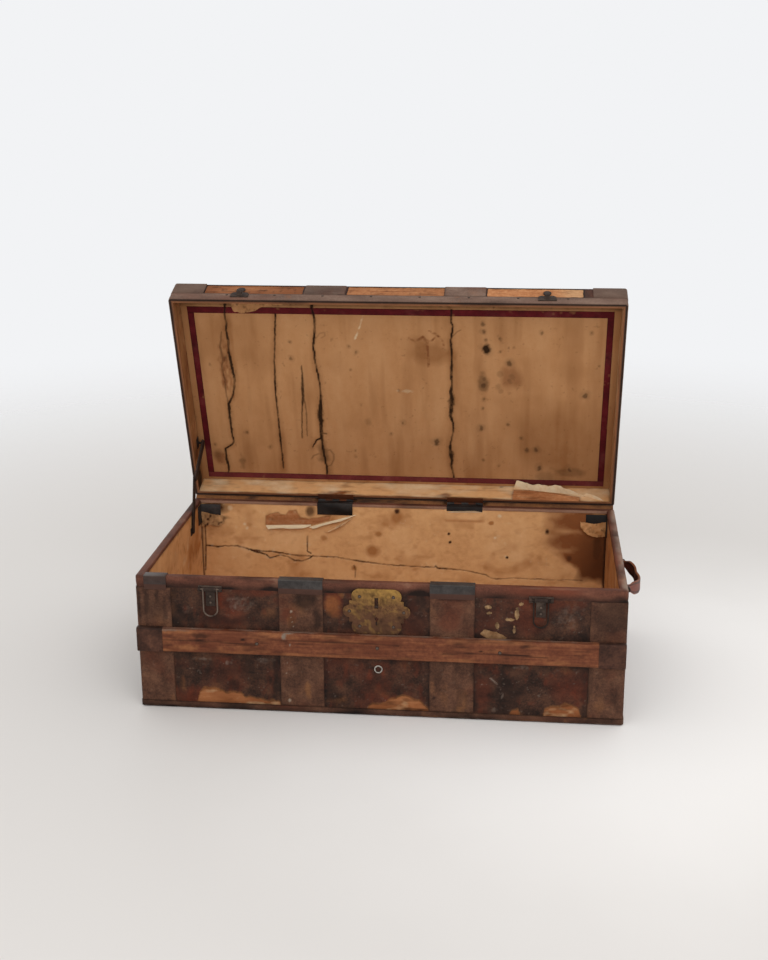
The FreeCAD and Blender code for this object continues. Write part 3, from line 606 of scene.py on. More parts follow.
@dataclass
class Sheet:
    """A thin covering: cut flat, torn and worn, laid on its place and given its thickness."""

    name: str
    span: Box
    cell: float
    place: Place
    thick: float
    lid: bool = False
    ring: bool = False
    torn: Optional[Field] = None
    relief: Optional[Field] = None
    wear: Optional[Field] = None

    def _tear(self, obj: Piece) -> None:
        """Cut away what is torn off and draw the edge along the tear.

        Args:
            obj: The flat sheet.
        """
        data = obj.data
        flat = read_points(obj)
        corners = np.empty(len(data.loops), np.int32)
        data.loops.foreach_get("vertex_index", corners)
        middles = flat[corners.reshape(-1, 4)].mean(axis=1)
        delete_faces(obj, self.torn(middles[:, 0], middles[:, 1]) < 0)
        flat = read_points(obj)
        uses = np.zeros(len(data.edges), int)
        loops = np.empty(len(data.loops), np.int32)
        data.loops.foreach_get("edge_index", loops)
        np.add.at(uses, loops, 1)
        ends = np.array([edge.vertices[:] for edge in data.edges])
        loose = np.unique(ends[uses == 1])
        a0, a1, b0, b1 = self.span
        a, b = flat[loose, 0], flat[loose, 1]
        inner = (a > a0 + 0.1) & (a < a1 - 0.1) & (b > b0 + 0.1) & (b < b1 - 0.1)
        loose = loose[inner]
        a, b = flat[loose, 0].copy(), flat[loose, 1].copy()
        start_a, start_b = a.copy(), b.copy()
        step = 0.4
        for _ in range(4):
            level = self.torn(a, b)
            slope_a = (self.torn(a + step, b) - level) / step
            slope_b = (self.torn(a, b + step) - level) / step
            steep = np.maximum(slope_a ** 2 + slope_b ** 2, 0.05)
            a, b = a - level * slope_a / steep, b - level * slope_b / steep
        reach = 0.75 * self.cell
        flat[loose, 0] = np.clip(a, start_a - reach, start_a + reach)
        flat[loose, 1] = np.clip(b, start_b - reach, start_b + reach)
        write_points(obj, flat)

    def build(self) -> Piece:
        """Make the sheet.

        Returns:
            The piece, in its place in the trunk's frame.
        """
        a0, a1, b0, b1 = self.span
        cells = [max(1, round(length / self.cell)) for length in (a1 - a0, b1 - b0)]
        pick()
        bpy.ops.mesh.primitive_grid_add(x_subdivisions=cells[0], y_subdivisions=cells[1], size=1.0)
        obj = named(self.name)
        start = read_points(obj) + 0.5
        write_points(obj, np.column_stack([a0 + start[:, 0] * (a1 - a0), b0 + start[:, 1] * (b1 - b0),
                                           np.zeros(len(start))]))
        if self.torn:
            self._tear(obj)
        flat = read_points(obj)
        a, b = flat[:, 0], flat[:, 1]
        points, facing = self.place(a, b)
        if self.relief:
            points = points + facing * self.relief(a, b)[:, None]
        if self.lid:
            points = opened(points)
        set_lay(obj, flat * MM)
        wear = self.wear(a, b) if self.wear else np.zeros((len(a), 4))
        set_wear(obj, wear)
        write_points(obj, points * MM)
        if self.ring:
            merge_points(obj)
        finish_with(obj, "SOLIDIFY", thickness=self.thick * MM, offset=-1.0)
        smooth(obj)
        return obj


def linear(code: str) -> tuple[float, float, float, float]:
    """Turn an sRGB hex colour into the linear one that a shader takes."""
    parts = [int(code[i:i + 2], 16) / 255 for i in (1, 3, 5)]
    return (*[c / 12.92 if c <= 0.04045 else ((c + 0.055) / 1.055) ** 2.4 for c in parts], 1.0)


def add(tree: bpy.types.NodeTree, kind: str, inputs: Optional[dict] = None,
        **settings: object) -> bpy.types.Node:
    """Add a node with its settings, values and links.

    Args:
        tree: The material's or world's nodes.
        kind: The node's type.
        inputs: A value or another node's output for each socket, by name or number.
        settings: The node's own properties.

    Returns:
        The new node.
    """
    node = tree.nodes.new(kind)
    for key, value in settings.items():
        setattr(node, key, value)
    for socket, source in (inputs or {}).items():
        if isinstance(source, bpy.types.NodeSocket):
            tree.links.new(source, node.inputs[socket])
        else:
            node.inputs[socket].default_value = source
    return node


class Lie(Enum):
    """How a finish's pattern lies on a piece: with its own layout, or turned from the trunk's axes."""

    LAID = None
    ALONG = (0.0, 0.0, 0.0)
    ACROSS = (0.0, 0.0, math.pi / 2)
    LID_ACROSS = (0.0, -OPEN_ANGLE, math.pi / 2)


class Pattern(Enum):
    """What the surface is made of, to the eye and the touch."""

    WEAVE = 1
    HIDE = 2
    WOOD = 3
    PAPER = 4
    METAL = 5


@dataclass(frozen=True)
class Finish:
    """A weathered surface: three tones of its own, and four kinds of wear that a piece's masks bring out."""

    slot: str
    title: str
    tones: tuple[str, str, str]
    bare: str
    grime: str
    dust: str
    tint: str
    pattern: Pattern
    pitch: float
    depth: float
    cloud: float
    gloss: Pair
    metallic: float = 0.0
    contrast: float = 1.0
    shine: float = 0.12
    drawn: Triple = (1.0, 1.0, 1.0)

    def _height(self, tree: bpy.types.NodeTree, where: bpy.types.NodeSocket) -> bpy.types.NodeSocket:
        """Relief of the pattern, from 0 to 1.

        Args:
            tree: The material's nodes.
            where: Places on the piece, in metres.

        Returns:
            The socket that carries the relief.
        """
        scale = 1 / (self.pitch * MM)
        if self.pattern is Pattern.WEAVE:
            # A wave repeats every 0.314 of its scale, and each thread is half a wave.
            threads = [add(tree, "ShaderNodeTexWave",
                           {"Vector": where, "Scale": 0.314 * scale, "Distortion": 1.2, "Detail Scale": 0.4},
                           bands_direction=axis).outputs["Fac"] for axis in ("X", "Y")]
            return add(tree, "ShaderNodeMath", {0: threads[0], 1: threads[1]},
                       operation="MULTIPLY").outputs[0]
        if self.pattern is Pattern.HIDE:
            return add(tree, "ShaderNodeTexVoronoi", {"Vector": where, "Scale": scale}).outputs["Distance"]
        if self.pattern is Pattern.METAL:
            return add(tree, "ShaderNodeTexVoronoi", {"Vector": where, "Scale": scale},
                       feature="SMOOTH_F1").outputs["Distance"]
        stretch = (0.045, 1.0, 1.0) if self.pattern is Pattern.WOOD else (0.35, 1.0, 1.0)
        fibres = add(tree, "ShaderNodeMapping", {"Vector": where, "Scale": stretch}).outputs[0]
        return add(tree, "ShaderNodeTexNoise", {"Vector": fibres, "Scale": scale, "Detail": 6.0,
                                                "Roughness": 0.66, "Distortion": 0.4}).outputs["Fac"]

    @lru_cache(maxsize=None)
    def material(self, lie: Lie = Lie.LAID) -> bpy.types.Material:
        """The finish as a material.

        Args:
            lie: How its pattern lies on the piece.

        Returns:
            The material, made once for each lie.
        """
        made = bpy.data.materials.new(f"{self.title}_{lie.name.lower()}")
        made.use_nodes = True
        tree = made.node_tree
        tree.nodes.clear()
        if lie is Lie.LAID:
            where = add(tree, "ShaderNodeAttribute", attribute_name="lay").outputs["Vector"]
        else:
            place = add(tree, "ShaderNodeTexCoord").outputs["Object"]
            where = add(tree, "ShaderNodeMapping", {"Vector": place, "Rotation": lie.value}).outputs[0]
        smear = add(tree, "ShaderNodeMapping", {"Vector": where, "Scale": self.drawn}).outputs[0]
        cloud = add(tree, "ShaderNodeTexNoise", {"Vector": smear, "Scale": 1 / (self.cloud * MM),
                                                 "Detail": 6.0, "Roughness": 0.62}).outputs["Fac"]
        fleck = add(tree, "ShaderNodeTexNoise", {"Vector": where, "Scale": 8 / (self.cloud * MM),
                                                 "Detail": 5.0, "Roughness": 0.7}).outputs["Fac"]
        height = self._height(tree, where)
        share = 0.55 if self.pattern is Pattern.WOOD else 0.15
        mixed = add(tree, "ShaderNodeMath", {0: cloud, 1: 0.8 - share}, operation="MULTIPLY").outputs[0]
        for part, weight in ((fleck, 0.2 + share * 0.3), (height, share * 0.7)):
            mixed = add(tree, "ShaderNodeMath", {0: part, 1: weight, 2: mixed},
                        operation="MULTIPLY_ADD").outputs[0]
        spread = 0.17 / self.contrast
        tone = add(tree, "ShaderNodeMapRange", {"Value": mixed, "From Min": 0.48 - spread,
                                                "From Max": 0.48 + spread}).outputs[0]
        ramp = add(tree, "ShaderNodeValToRGB", {"Fac": tone})
        ramp.color_ramp.elements.new(0.5)
        for stop, code in zip(ramp.color_ramp.elements, self.tones):
            stop.color = linear(code)
        colour = ramp.outputs["Color"]
        wear = add(tree, "ShaderNodeAttribute", attribute_name="wear")
        kinds = add(tree, "ShaderNodeSeparateColor", {"Color": wear.outputs["Color"]})
        layers = ((wear.outputs["Alpha"], self.tint), (kinds.outputs[0], self.bare),
                  (kinds.outputs[1], self.grime), (kinds.outputs[2], self.dust))
        for mask, code in layers:
            ragged = add(tree, "ShaderNodeMath", {0: fleck, 1: mask, 2: mask},
                         operation="MULTIPLY_ADD").outputs[0]
            share = add(tree, "ShaderNodeMapRange",
                        {"Value": ragged, "From Min": 0.08, "From Max": 1.25}).outputs[0]
            shade = add(tree, "ShaderNodeMix", {0: tone, 6: tuple(c * 0.68 for c in linear(code)),
                                                7: linear(code)}, data_type="RGBA").outputs[2]
            colour = add(tree, "ShaderNodeMix", {0: share, 6: colour, 7: shade}, data_type="RGBA").outputs[2]
        gloss = add(tree, "ShaderNodeMapRange", {"Value": fleck, "From Min": 0.3, "From Max": 0.7,
                                                 "To Min": self.gloss[0], "To Max": self.gloss[1]}).outputs[0]
        relief = add(tree, "ShaderNodeMath", {0: fleck, 1: 0.5, 2: height},
                     operation="MULTIPLY_ADD").outputs[0]
        bump = add(tree, "ShaderNodeBump", {"Height": relief, "Distance": self.depth * MM, "Strength": 0.9})
        skin = add(tree, "ShaderNodeBsdfPrincipled",
                   {"Base Color": colour, "Roughness": gloss, "Metallic": self.metallic,
                    "Specular IOR Level": self.shine, "Normal": bump.outputs[0]})
        add(tree, "ShaderNodeOutputMaterial", {"Surface": skin.outputs[0]})
        return made


# Planed pine, aged orange where a covering has come off: long straight grain, no gloss.
PINE = Finish("pine", "aged_pine", ("#7d4826", "#b3754a", "#d09a6c"), "#dcae82", "#4a2a17", "#c9a67c",
              "#8a5230", Pattern.WOOD, 5.0, 0.25, 60.0, (0.62, 0.8))
# Glue-painted canvas: nearly black brown with reddish rubs, the weave drawn at 2 mm so that it shows.
CANVAS_FINISH = Finish("painted_canvas", "painted_canvas", ("#241813", "#3d281f", "#553829"), "#9a6338",
                       "#1b1412", "#857468", "#66301f", Pattern.WEAVE, 2.0, 0.12, 30.0, (0.5, 0.7),
                       contrast=1.4)
# Lining paper over the boards: buff, foxed and cockled, with soft fibres, its tones painted lighter than the
# paper to lift the shade inside the case.
LINING_WITH_PAINTED_LIGHT = Finish("lining_paper", "lining_paper", ("#c08c5b", "#d7a470", "#e3b684"), "#8d5530", "#4a2d1b",
                "#ecd5b0", "#b57a48", Pattern.PAPER, 1.6, 0.1, 110.0, (0.75, 0.9), contrast=0.8)
# The lid's lining, without the painted light of the case's lining: darker, its clouds drawn out down the
# panel.
LID_LINING = Finish("lining_paper", "lid_lining_paper", ("#9f6f46", "#b58458", "#c39569"), "#84502e",
                    "#33200f", "#e0c8a2", "#9a683f", Pattern.PAPER, 1.6, 0.1, 120.0, (0.75, 0.9),
                    contrast=0.6, drawn=(2.2, 0.6, 1.0))
# Maroon book-cloth tape, faded a little at its edges.
TAPE = Finish("maroon_tape", "maroon_tape", ("#431014", "#5a161b", "#6c2024"), "#8a5a3c", "#2a0a0c",
              "#8a4a45", "#4a0d14", Pattern.WEAVE, 1.6, 0.08, 40.0, (0.7, 0.85))
# Strap leather pasted flat: brown, dry, a grain of small cells drawn at 2.4 mm so that it shows.
LEATHER_FINISH = Finish("brown_leather", "strap_leather", ("#33221a", "#523629", "#694836"), "#8f5f3a",
                        "#1c1411", "#93806f", "#5e3122", Pattern.HIDE, 2.4, 0.12, 40.0, (0.55, 0.75),
                        contrast=1.2)
# The lid's own leather and strip have faded to a greyer brown.
FADED_LEATHER = Finish("rim_leather", "faded_leather", ("#4e3d35", "#70574a", "#876e5f"), "#94603f",
                       "#261a15", "#9a8a7d", "#6f3f2d", Pattern.HIDE, 2.4, 0.12, 40.0, (0.55, 0.75),
                       contrast=1.1, drawn=(0.4, 1.0, 1.0))
# Rim leather, handled until it is red and dull on the edge.
RIM_LEATHER = Finish("rim_leather", "rim_leather", ("#3c231b", "#603a2d", "#7a4d3b"), "#96705a", "#231713",
                     "#9a8676", "#6f3826", Pattern.HIDE, 2.2, 0.1, 45.0, (0.45, 0.65), contrast=1.2,
                     drawn=(0.3, 1.0, 1.0))
# Bridle leather of the handles: redder, thicker, polished by hands.
HANDLE_LEATHER = Finish("handle_leather", "bridle_leather", ("#4a2018", "#70382a", "#8b4c38"), "#a4663f",
                        "#22110d", "#9a7460", "#5a2a20", Pattern.HIDE, 1.9, 0.12, 30.0, (0.35, 0.55),
                        shine=0.3)
# Varnished ash slat: orange brown, the varnish dark in the grain and gone at the edges.
SLAT_WOOD = Finish("varnished_wood", "varnished_ash", ("#44261a", "#693b28", "#875236"), "#a66c44", "#2f1b13",
                   "#857466", "#5e3020", Pattern.WOOD, 4.0, 0.2, 55.0, (0.5, 0.7))
# Japanned sheet iron: worn black, rubbed grey on bends, rusted brown where it is worn through.
JAPAN = Finish("black_japan", "black_japan", ("#211d1c", "#35312f", "#494442"), "#726c68", "#141110",
               "#6d6a66", "#4d3025", Pattern.METAL, 6.0, 0.08, 24.0, (0.4, 0.6), metallic=0.2, shine=0.3)
# Stamped brass, yellow where it is rubbed, brown and pitted below.
BRASS = Finish("tarnished_brass", "tarnished_brass", ("#46301f", "#6b4b31", "#86633b"), "#ab8446", "#2f1f17",
               "#a89a80", "#61422f", Pattern.METAL, 3.2, 0.1, 12.0, (0.45, 0.65), metallic=0.3, contrast=1.3)
# Scraps of a label: tan paper, rubbed and dirty.
LABEL = Finish("lining_paper", "label_paper", ("#6b5038", "#8f6f4d", "#a98a66"), "#5f4530", "#382820",
               "#b89c78", "#7d5a3c", Pattern.PAPER, 1.2, 0.1, 14.0, (0.75, 0.9), contrast=1.3)
# Wrought iron gone brown: rust in patches, dark between.
IRON = Finish("dark_iron", "browned_iron", ("#1d1715", "#352a25", "#4d3c33"), "#7b6a5e", "#15100e", "#7a6a5c",
              "#6b3a22", Pattern.METAL, 2.6, 0.12, 14.0, (0.5, 0.7), metallic=0.3)
# Sheet iron of the slat's ends: japan gone, the brown of old varnish left.
CAP_IRON = Finish("black_japan", "varnished_iron", ("#2f1e18", "#4b3026", "#634132"), "#86644e", "#1d1512",
                  "#8a7868", "#5a3120", Pattern.METAL, 5.0, 0.08, 20.0, (0.5, 0.7), contrast=1.2)
# Nickelled eyelet, still pale.
STEEL = Finish("pale_steel", "pale_nickel", ("#5f574f", "#89817a", "#aaa39a"), "#c6c0b6", "#3f2c22",
               "#c9c2b4", "#8a7a68", Pattern.METAL, 2.0, 0.05, 9.0, (0.3, 0.5), metallic=0.5)


def fit(obj: Piece, finish: Finish, body: str, *nodes: str, lie: Lie = Lie.LAID) -> Piece:
    """Dress a piece, put it on its body and let it stand for CAD nodes.

    Args:
        obj: The piece.
        finish: What it is made of.
        body: The body that it moves with.
        nodes: CAD nodes that it stands for.
        lie: How the finish's pattern lies on it.

    Returns:
        The piece.
    """
    obj.data.materials.clear()
    obj.data.materials.append(finish.material(lie))
    if nodes:
        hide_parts(*nodes)
    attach(obj, body)
    LOG.info("%s: %s on %s", obj.name, finish.title, body)
    return obj


def edge_rub(obj: Piece, bare: float, grime: float = 0.0, seed: int = 5) -> None:
    """Mark the edges of a hard piece as rubbed and its flats as grimy.

    Args:
        obj: The piece, in the trunk's frame.
        bare: How far its edges are rubbed.
        grime: How dirty its flats are.
        seed: Picks the unevenness.
    """
    data = obj.data
    facing = np.empty(len(data.polygons) * 3)
    data.polygons.foreach_get("normal", facing)
    facing = facing.reshape(-1, 3)
    mean = np.zeros((len(data.vertices), 3))
    count = np.zeros(len(data.vertices))
    for face in data.polygons:
        index = list(face.vertices)
        mean[index] += facing[face.index]
        count[index] += 1
    bent = 1 - np.linalg.norm(mean / np.maximum(count, 1)[:, None], axis=1)
    points = read_points(obj) / MM
    uneven = rough(points[:, 0] + points[:, 1], points[:, 2] + 0.3 * points[:, 1], 9.0, seed)
    wear = masks(len(bent), bare=bare * unit(bent * 9) * (0.7 + 0.5 * uneven), grime=grime * (0.5 + uneven))
    set_wear(obj, wear)


def soften(node: str, edge: float, bare: float = 0.8, grime: float = 0.3, segments: int = 2) -> Piece:
    """Copy a hard CAD node and round its edges over, as a file or years of use would.

    Args:
        node: The CAD node.
        edge: Width of the rounding, in millimetres.
        bare: How far the edges are rubbed.
        grime: How dirty the flats are.
        segments: Facets of the rounding.

    Returns:
        The new piece.
    """
    obj = bpy.data.objects.new(f"{node}_worked", frame["nodes"][node].data.copy())
    bpy.context.scene.collection.objects.link(obj)
    pick(obj)
    bpy.ops.mesh.customdata_custom_splitnormals_clear()
    bpy.ops.object.mode_set(mode="EDIT")
    bpy.ops.mesh.select_all(action="SELECT")
    bpy.ops.mesh.remove_doubles(threshold=2e-6)
    bpy.ops.mesh.dissolve_limited(angle_limit=math.radians(1.5))
    bpy.ops.object.mode_set(mode="OBJECT")
    finish_with(obj, "BEVEL", width=edge * MM, segments=segments, limit_method="ANGLE",
                angle_limit=math.radians(40), use_clamp_overlap=True)
    smooth(obj)
    edge_rub(obj, bare, grime)
    return obj


def domes(name: str, centres: Sequence[Triple], radius: float, height: float, lid: bool = False) -> Piece:
    """Round nail or rivet heads that face the front.

    Args:
        name: The piece's name.
        centres: Middle of each head on the face that it sits on, in millimetres.
        radius: Radius of a head.
        height: How far it stands out.
        lid: Whether it belongs to the lid.

    Returns:
        One piece with all the heads.
    """
    heads = []
    for i, centre in enumerate(centres):
        pick()
        bpy.ops.mesh.primitive_uv_sphere_add(segments=16, ring_count=12, radius=1.0)
        head = named(f"{name}_{i}")
        bpy.ops.object.mode_set(mode="EDIT")
        bpy.ops.mesh.select_all(action="SELECT")
        bpy.ops.mesh.bisect(plane_co=(0, 0, 0), plane_no=(0, 0, 1), clear_inner=True, use_fill=True)
        bpy.ops.object.mode_set(mode="OBJECT")
        ball = read_points(head)
        swell = 1 + 0.05 * np.sin(3 * np.arctan2(ball[:, 1], ball[:, 0]) + i)
        flat = np.column_stack([ball[:, 0] * radius * swell, -ball[:, 2] * height,
                                ball[:, 1] * radius * swell])
        points = flat + np.array(centre)
        set_lay(head, points * MM)
        crown = unit(ball[:, 2])
        set_wear(head, masks(len(ball), bare=0.5 * crown, grime=0.6 * (1 - crown)))
        write_points(head, (opened(points) if lid else points) * MM)
        heads.append(head)
    made = join(name, heads)
    smooth(made)
    return made


@dataclass
class Woodwork:
    """The pine boards, seen where coverings are gone and from below."""

    along: tuple[str, ...] = (
        "case_front_board", "case_back_board", "case_floor_board", "lid_front_board", "lid_back_board")
    across: tuple[str, ...] = ("case_left_board", "case_right_board")
    lid_across: tuple[str, ...] = (
        "lid_left_board", "lid_right_board", "lid_top_board_1", "lid_top_board_2", "lid_top_board_3",
        "lid_top_board_4", "lid_top_board_5")

    def build(self) -> None:
        """Give each board its grain."""
        for names, lie in ((self.along, Lie.ALONG), (self.across, Lie.ACROSS),
                           (self.lid_across, Lie.LID_ACROSS)):
            for name in names:
                board = frame["nodes"][name]
                board.data.materials.clear()
                board.data.materials.append(PINE.material(lie))
                LOG.info("%s: bare boards", name)


@dataclass
class CaseCover:
    """Painted canvas on the four walls, worn through above the base."""

    cell: float = 2.2
    end_cell: float = 3.8
    low: float = 0.6
    high: float = 262.8
    inset: float = 3.0
    front_rot: tuple[tuple[Pair, ...], ...] = (
        ((-344, 0), (-342, 20), (-338, 33), (-330, 39), (-311, 38), (-292, 33), (-273, 33), (-258, 32),
         (-252, 24), (-239, 23), (-209, 20), (-186, 19), (-184, 0)),
        ((-24, 0), (-20, 14), (-12, 20), (11, 25), (26, 34), (44, 41), (59, 38), (78, 29), (93, 18),
         (95, 0)),
        ((241, 0), (244, 14), (248, 21), (259, 23), (263, 12), (264, 0)),
        ((305, 0), (308, 24), (318, 30), (336, 33), (347, 39), (358, 34), (369, 28), (373, 16), (375, 0)))
    back_rot: tuple[tuple[Pair, ...], ...] = (
        ((-290, 0), (-270, 24), (-240, 30), (-216, 17), (-200, 0)),
        ((190, 0), (214, 18), (260, 33), (290, 21), (312, 0)))
    end_rot: tuple[tuple[Pair, ...], ...] = (((-40, 0), (-18, 24), (20, 30), (44, 19), (70, 0)),)
    marks: tuple[Mark, ...] = (
        (DUST, -251, 217, 38, 14, 0.5), (DUST, -257, 204, 20, 9, 0.75), (DUST, -274, 224, 10, 7, 0.6),
        (DUST, -282, 95, 9, 5, 1.0), (DUST, -335, 101, 24, 4, 0.6), (DUST, -210, 102, 28, 7, 0.5),
        (DUST, -354, 199, 15, 12, 0.3), (DUST, 345, 213, 44, 40, 0.4), (DUST, 217, 21, 9, 6, 0.6),
        (DUST, 261, 108, 24, 5, 0.6), (GRIME, -372, 182, 24, 34, 0.9), (GRIME, -378, 70, 13, 60, 0.9),
        (GRIME, -190, 70, 11, 60, 1.0), (GRIME, -244, 96, 26, 26, 0.7), (GRIME, -300, 180, 90, 12, 0.8),
        (GRIME, 74, 234, 24, 50, 0.8), (GRIME, 68, 183, 30, 26, 0.8), (GRIME, -98, 60, 7, 60, 1.0),
        (GRIME, 248, 55, 46, 46, 1.0), (GRIME, 296, 19, 7, 5, 1.0), (GRIME, 209, 149, 32, 30, 0.9),
        (GRIME, 380, 60, 8, 60, 0.8), (GRIME, -60, 178, 40, 14, 0.8), (GRIME, 10, 60, 60, 24, 0.5),
        (TINT, -228, 244, 60, 22, 0.9), (TINT, -270, 60, 50, 22, 0.5), (TINT, -15, 78, 7, 18, 1.3),
        (TINT, 330, 236, 50, 22, 0.8), (TINT, 190, 60, 22, 44, 0.9), (TINT, 350, 70, 40, 40, 0.7),
        (BARE, -315, 258, 12, 8, 0.8), (BARE, -283, 259, 9, 5, 0.8), (BARE, -370, 48, 8, 30, 0.35),
        (TINT, -82, 217, 24, 30, 1.8), (BARE, -82, 217, 18, 26, 0.7), (BARE, -66, 240, 10, 8, 0.6),
        (BARE, -72, 28, 34, 13, 0.4), (BARE, 307, 258, 12, 7, 0.6), (GRIME, -290, 80, 70, 40, 0.5))
    scratch: tuple[Triple, ...] = ((207, 85, 0.5), (224, 70, 0.8), (231, 54, 1.0), (228, 38, 0.6))

    @staticmethod
    def _torn(lines: Sequence[Sequence[Pair]], seed: int) -> Field:
        """Where the canvas has rotted away above the base.

        Args:
            lines: Top edge of each bare place.
            seed: Picks its raggedness.

        Returns:
            A field that is below zero where the canvas is gone.
        """
        def field(a: Array, b: Array) -> Array:
            """Height over the ragged edge of the bare places."""
            top = np.zeros(len(a))
            for line in lines:
                top = np.maximum(top, np.interp(a, *zip(*line), 0, 0))
            return b - np.where(top > 0, top + 4 * rough(a, b, 11.0, seed), -20)
        return field

    def _wear(self, lines: Sequence[Sequence[Pair]], seed: int, marks: Sequence[Mark]) -> Field:
        """Rubs, scuffs and dirt of one wall.

        Args:
            lines: Top edge of each bare place.
            seed: Picks the unevenness.
            marks: What the wall has had besides.

        Returns:
            A field of wear.
        """
        def field(a: Array, b: Array) -> Array:
            """Wear at places on the wall."""
            stain = Stain(a, b, 0.9, seed)
            stain.add(BARE, 0.5 * unit(1 - self._torn(lines, seed)(a, b) / 6))
            stain.add(BARE, 0.15 * patchy(a, b, 50, seed + 1, 0.2))
            stain.add(GRIME, 0.35 * patchy(a, b, 50, seed + 2) + 0.35 * patchy(a * 0.4, b, 12, seed + 3, 0.1))
            stain.add(DUST, 0.2 * patchy(a * 0.6, b, 6, seed + 4, 0.2))
            stain.add(TINT, 0.6 * patchy(a, b, 70, seed + 5, -0.1)
                      + 0.4 * patchy(a, b * 0.5, 10, seed + 7, 0.1))
            for middle in BAND_PLACES.values():
                stain.add(GRIME, 0.35 * unit(1 - (np.abs(a - middle) - BAND_HALF) / 8))
            stain.marks(marks, 0.55)
            stain.kinds[DUST] *= 0.3 + 0.8 * patchy(a, b, 5, seed + 8, -0.3)
            stain.add(DUST, 0.3 * patchy(a, b, 4, seed + 9, 0.5))
            if marks:
                stain.over(DUST, 0.8 * seam(a, b, self.scratch) * patchy(a, b, 8, seed + 6, -0.4))
            return stain.masks()
        return field

    @staticmethod
    def _wood_wear(a: Array, b: Array) -> Array:
        """Dirt drawn along the bare boards above the base.

        Args:
            a: Places along the layout.
            b: Places across it.

        Returns:
            The four kinds of wear.
        """
        stain = Stain(a, b)
        stain.add(TINT, 0.75 + 0.4 * rough(a * 0.4, b, 22, 31))
        stain.add(GRIME, 0.7 * patchy(a * 0.25, b, 7, 32, 0.05) + 0.6 * unit((18 - b) / 14))
        stain.add(DUST, 0.6 * patchy(a * 0.5, b, 12, 33, 0.1))
        return stain.masks()

    @staticmethod
    def _cockle(a: Array, b: Array) -> Array:
        """Slight lift where the glue has let go."""
        return 0.16 * rough(a, b, 34, 41) + 0.12 * unit(rough(a, b, 80, 42))

    def build(self) -> None:
        """Lay the canvas on each wall."""
        x, y = HALF_LENGTH - self.inset, HALF_WIDTH - self.inset
        walls = {
            "front": (Wall((0, -HALF_WIDTH, 0), RIGHT, UP), x, self.cell, self.front_rot, self.marks),
            "back": (Wall((0, HALF_WIDTH, 0), LEFT, UP), x, self.end_cell, self.back_rot, ()),
            "left": (Wall((-HALF_LENGTH, 0, 0), FRONT, UP), y, self.end_cell, self.end_rot, ()),
            "right": (Wall((HALF_LENGTH, 0, 0), BACK, UP), y, self.end_cell, self.end_rot, ()),
        }
        for i, (side, (wall, reach, cell, rot, marks)) in enumerate(walls.items()):
            seed = 11 + 60 * i
            sheet = Sheet(f"canvas_{side}", (-reach, reach, self.low, self.high), cell, wall, CANVAS - 0.1,
                          torn=self._torn(rot, seed), relief=self._cockle, wear=self._wear(rot, seed, marks))
            fit(sheet.build(), CANVAS_FINISH, "case", *(("case_canvas",) if marks else ()))
        wood = Sheet("front_bare_wood", (-352.0, 382.0, self.low, 48.0), self.cell,
                     Wall((0, -HALF_WIDTH + 0.7, 0), RIGHT, UP), 0.4, wear=self._wood_wear)
        fit(wood.build(), PINE, "case")


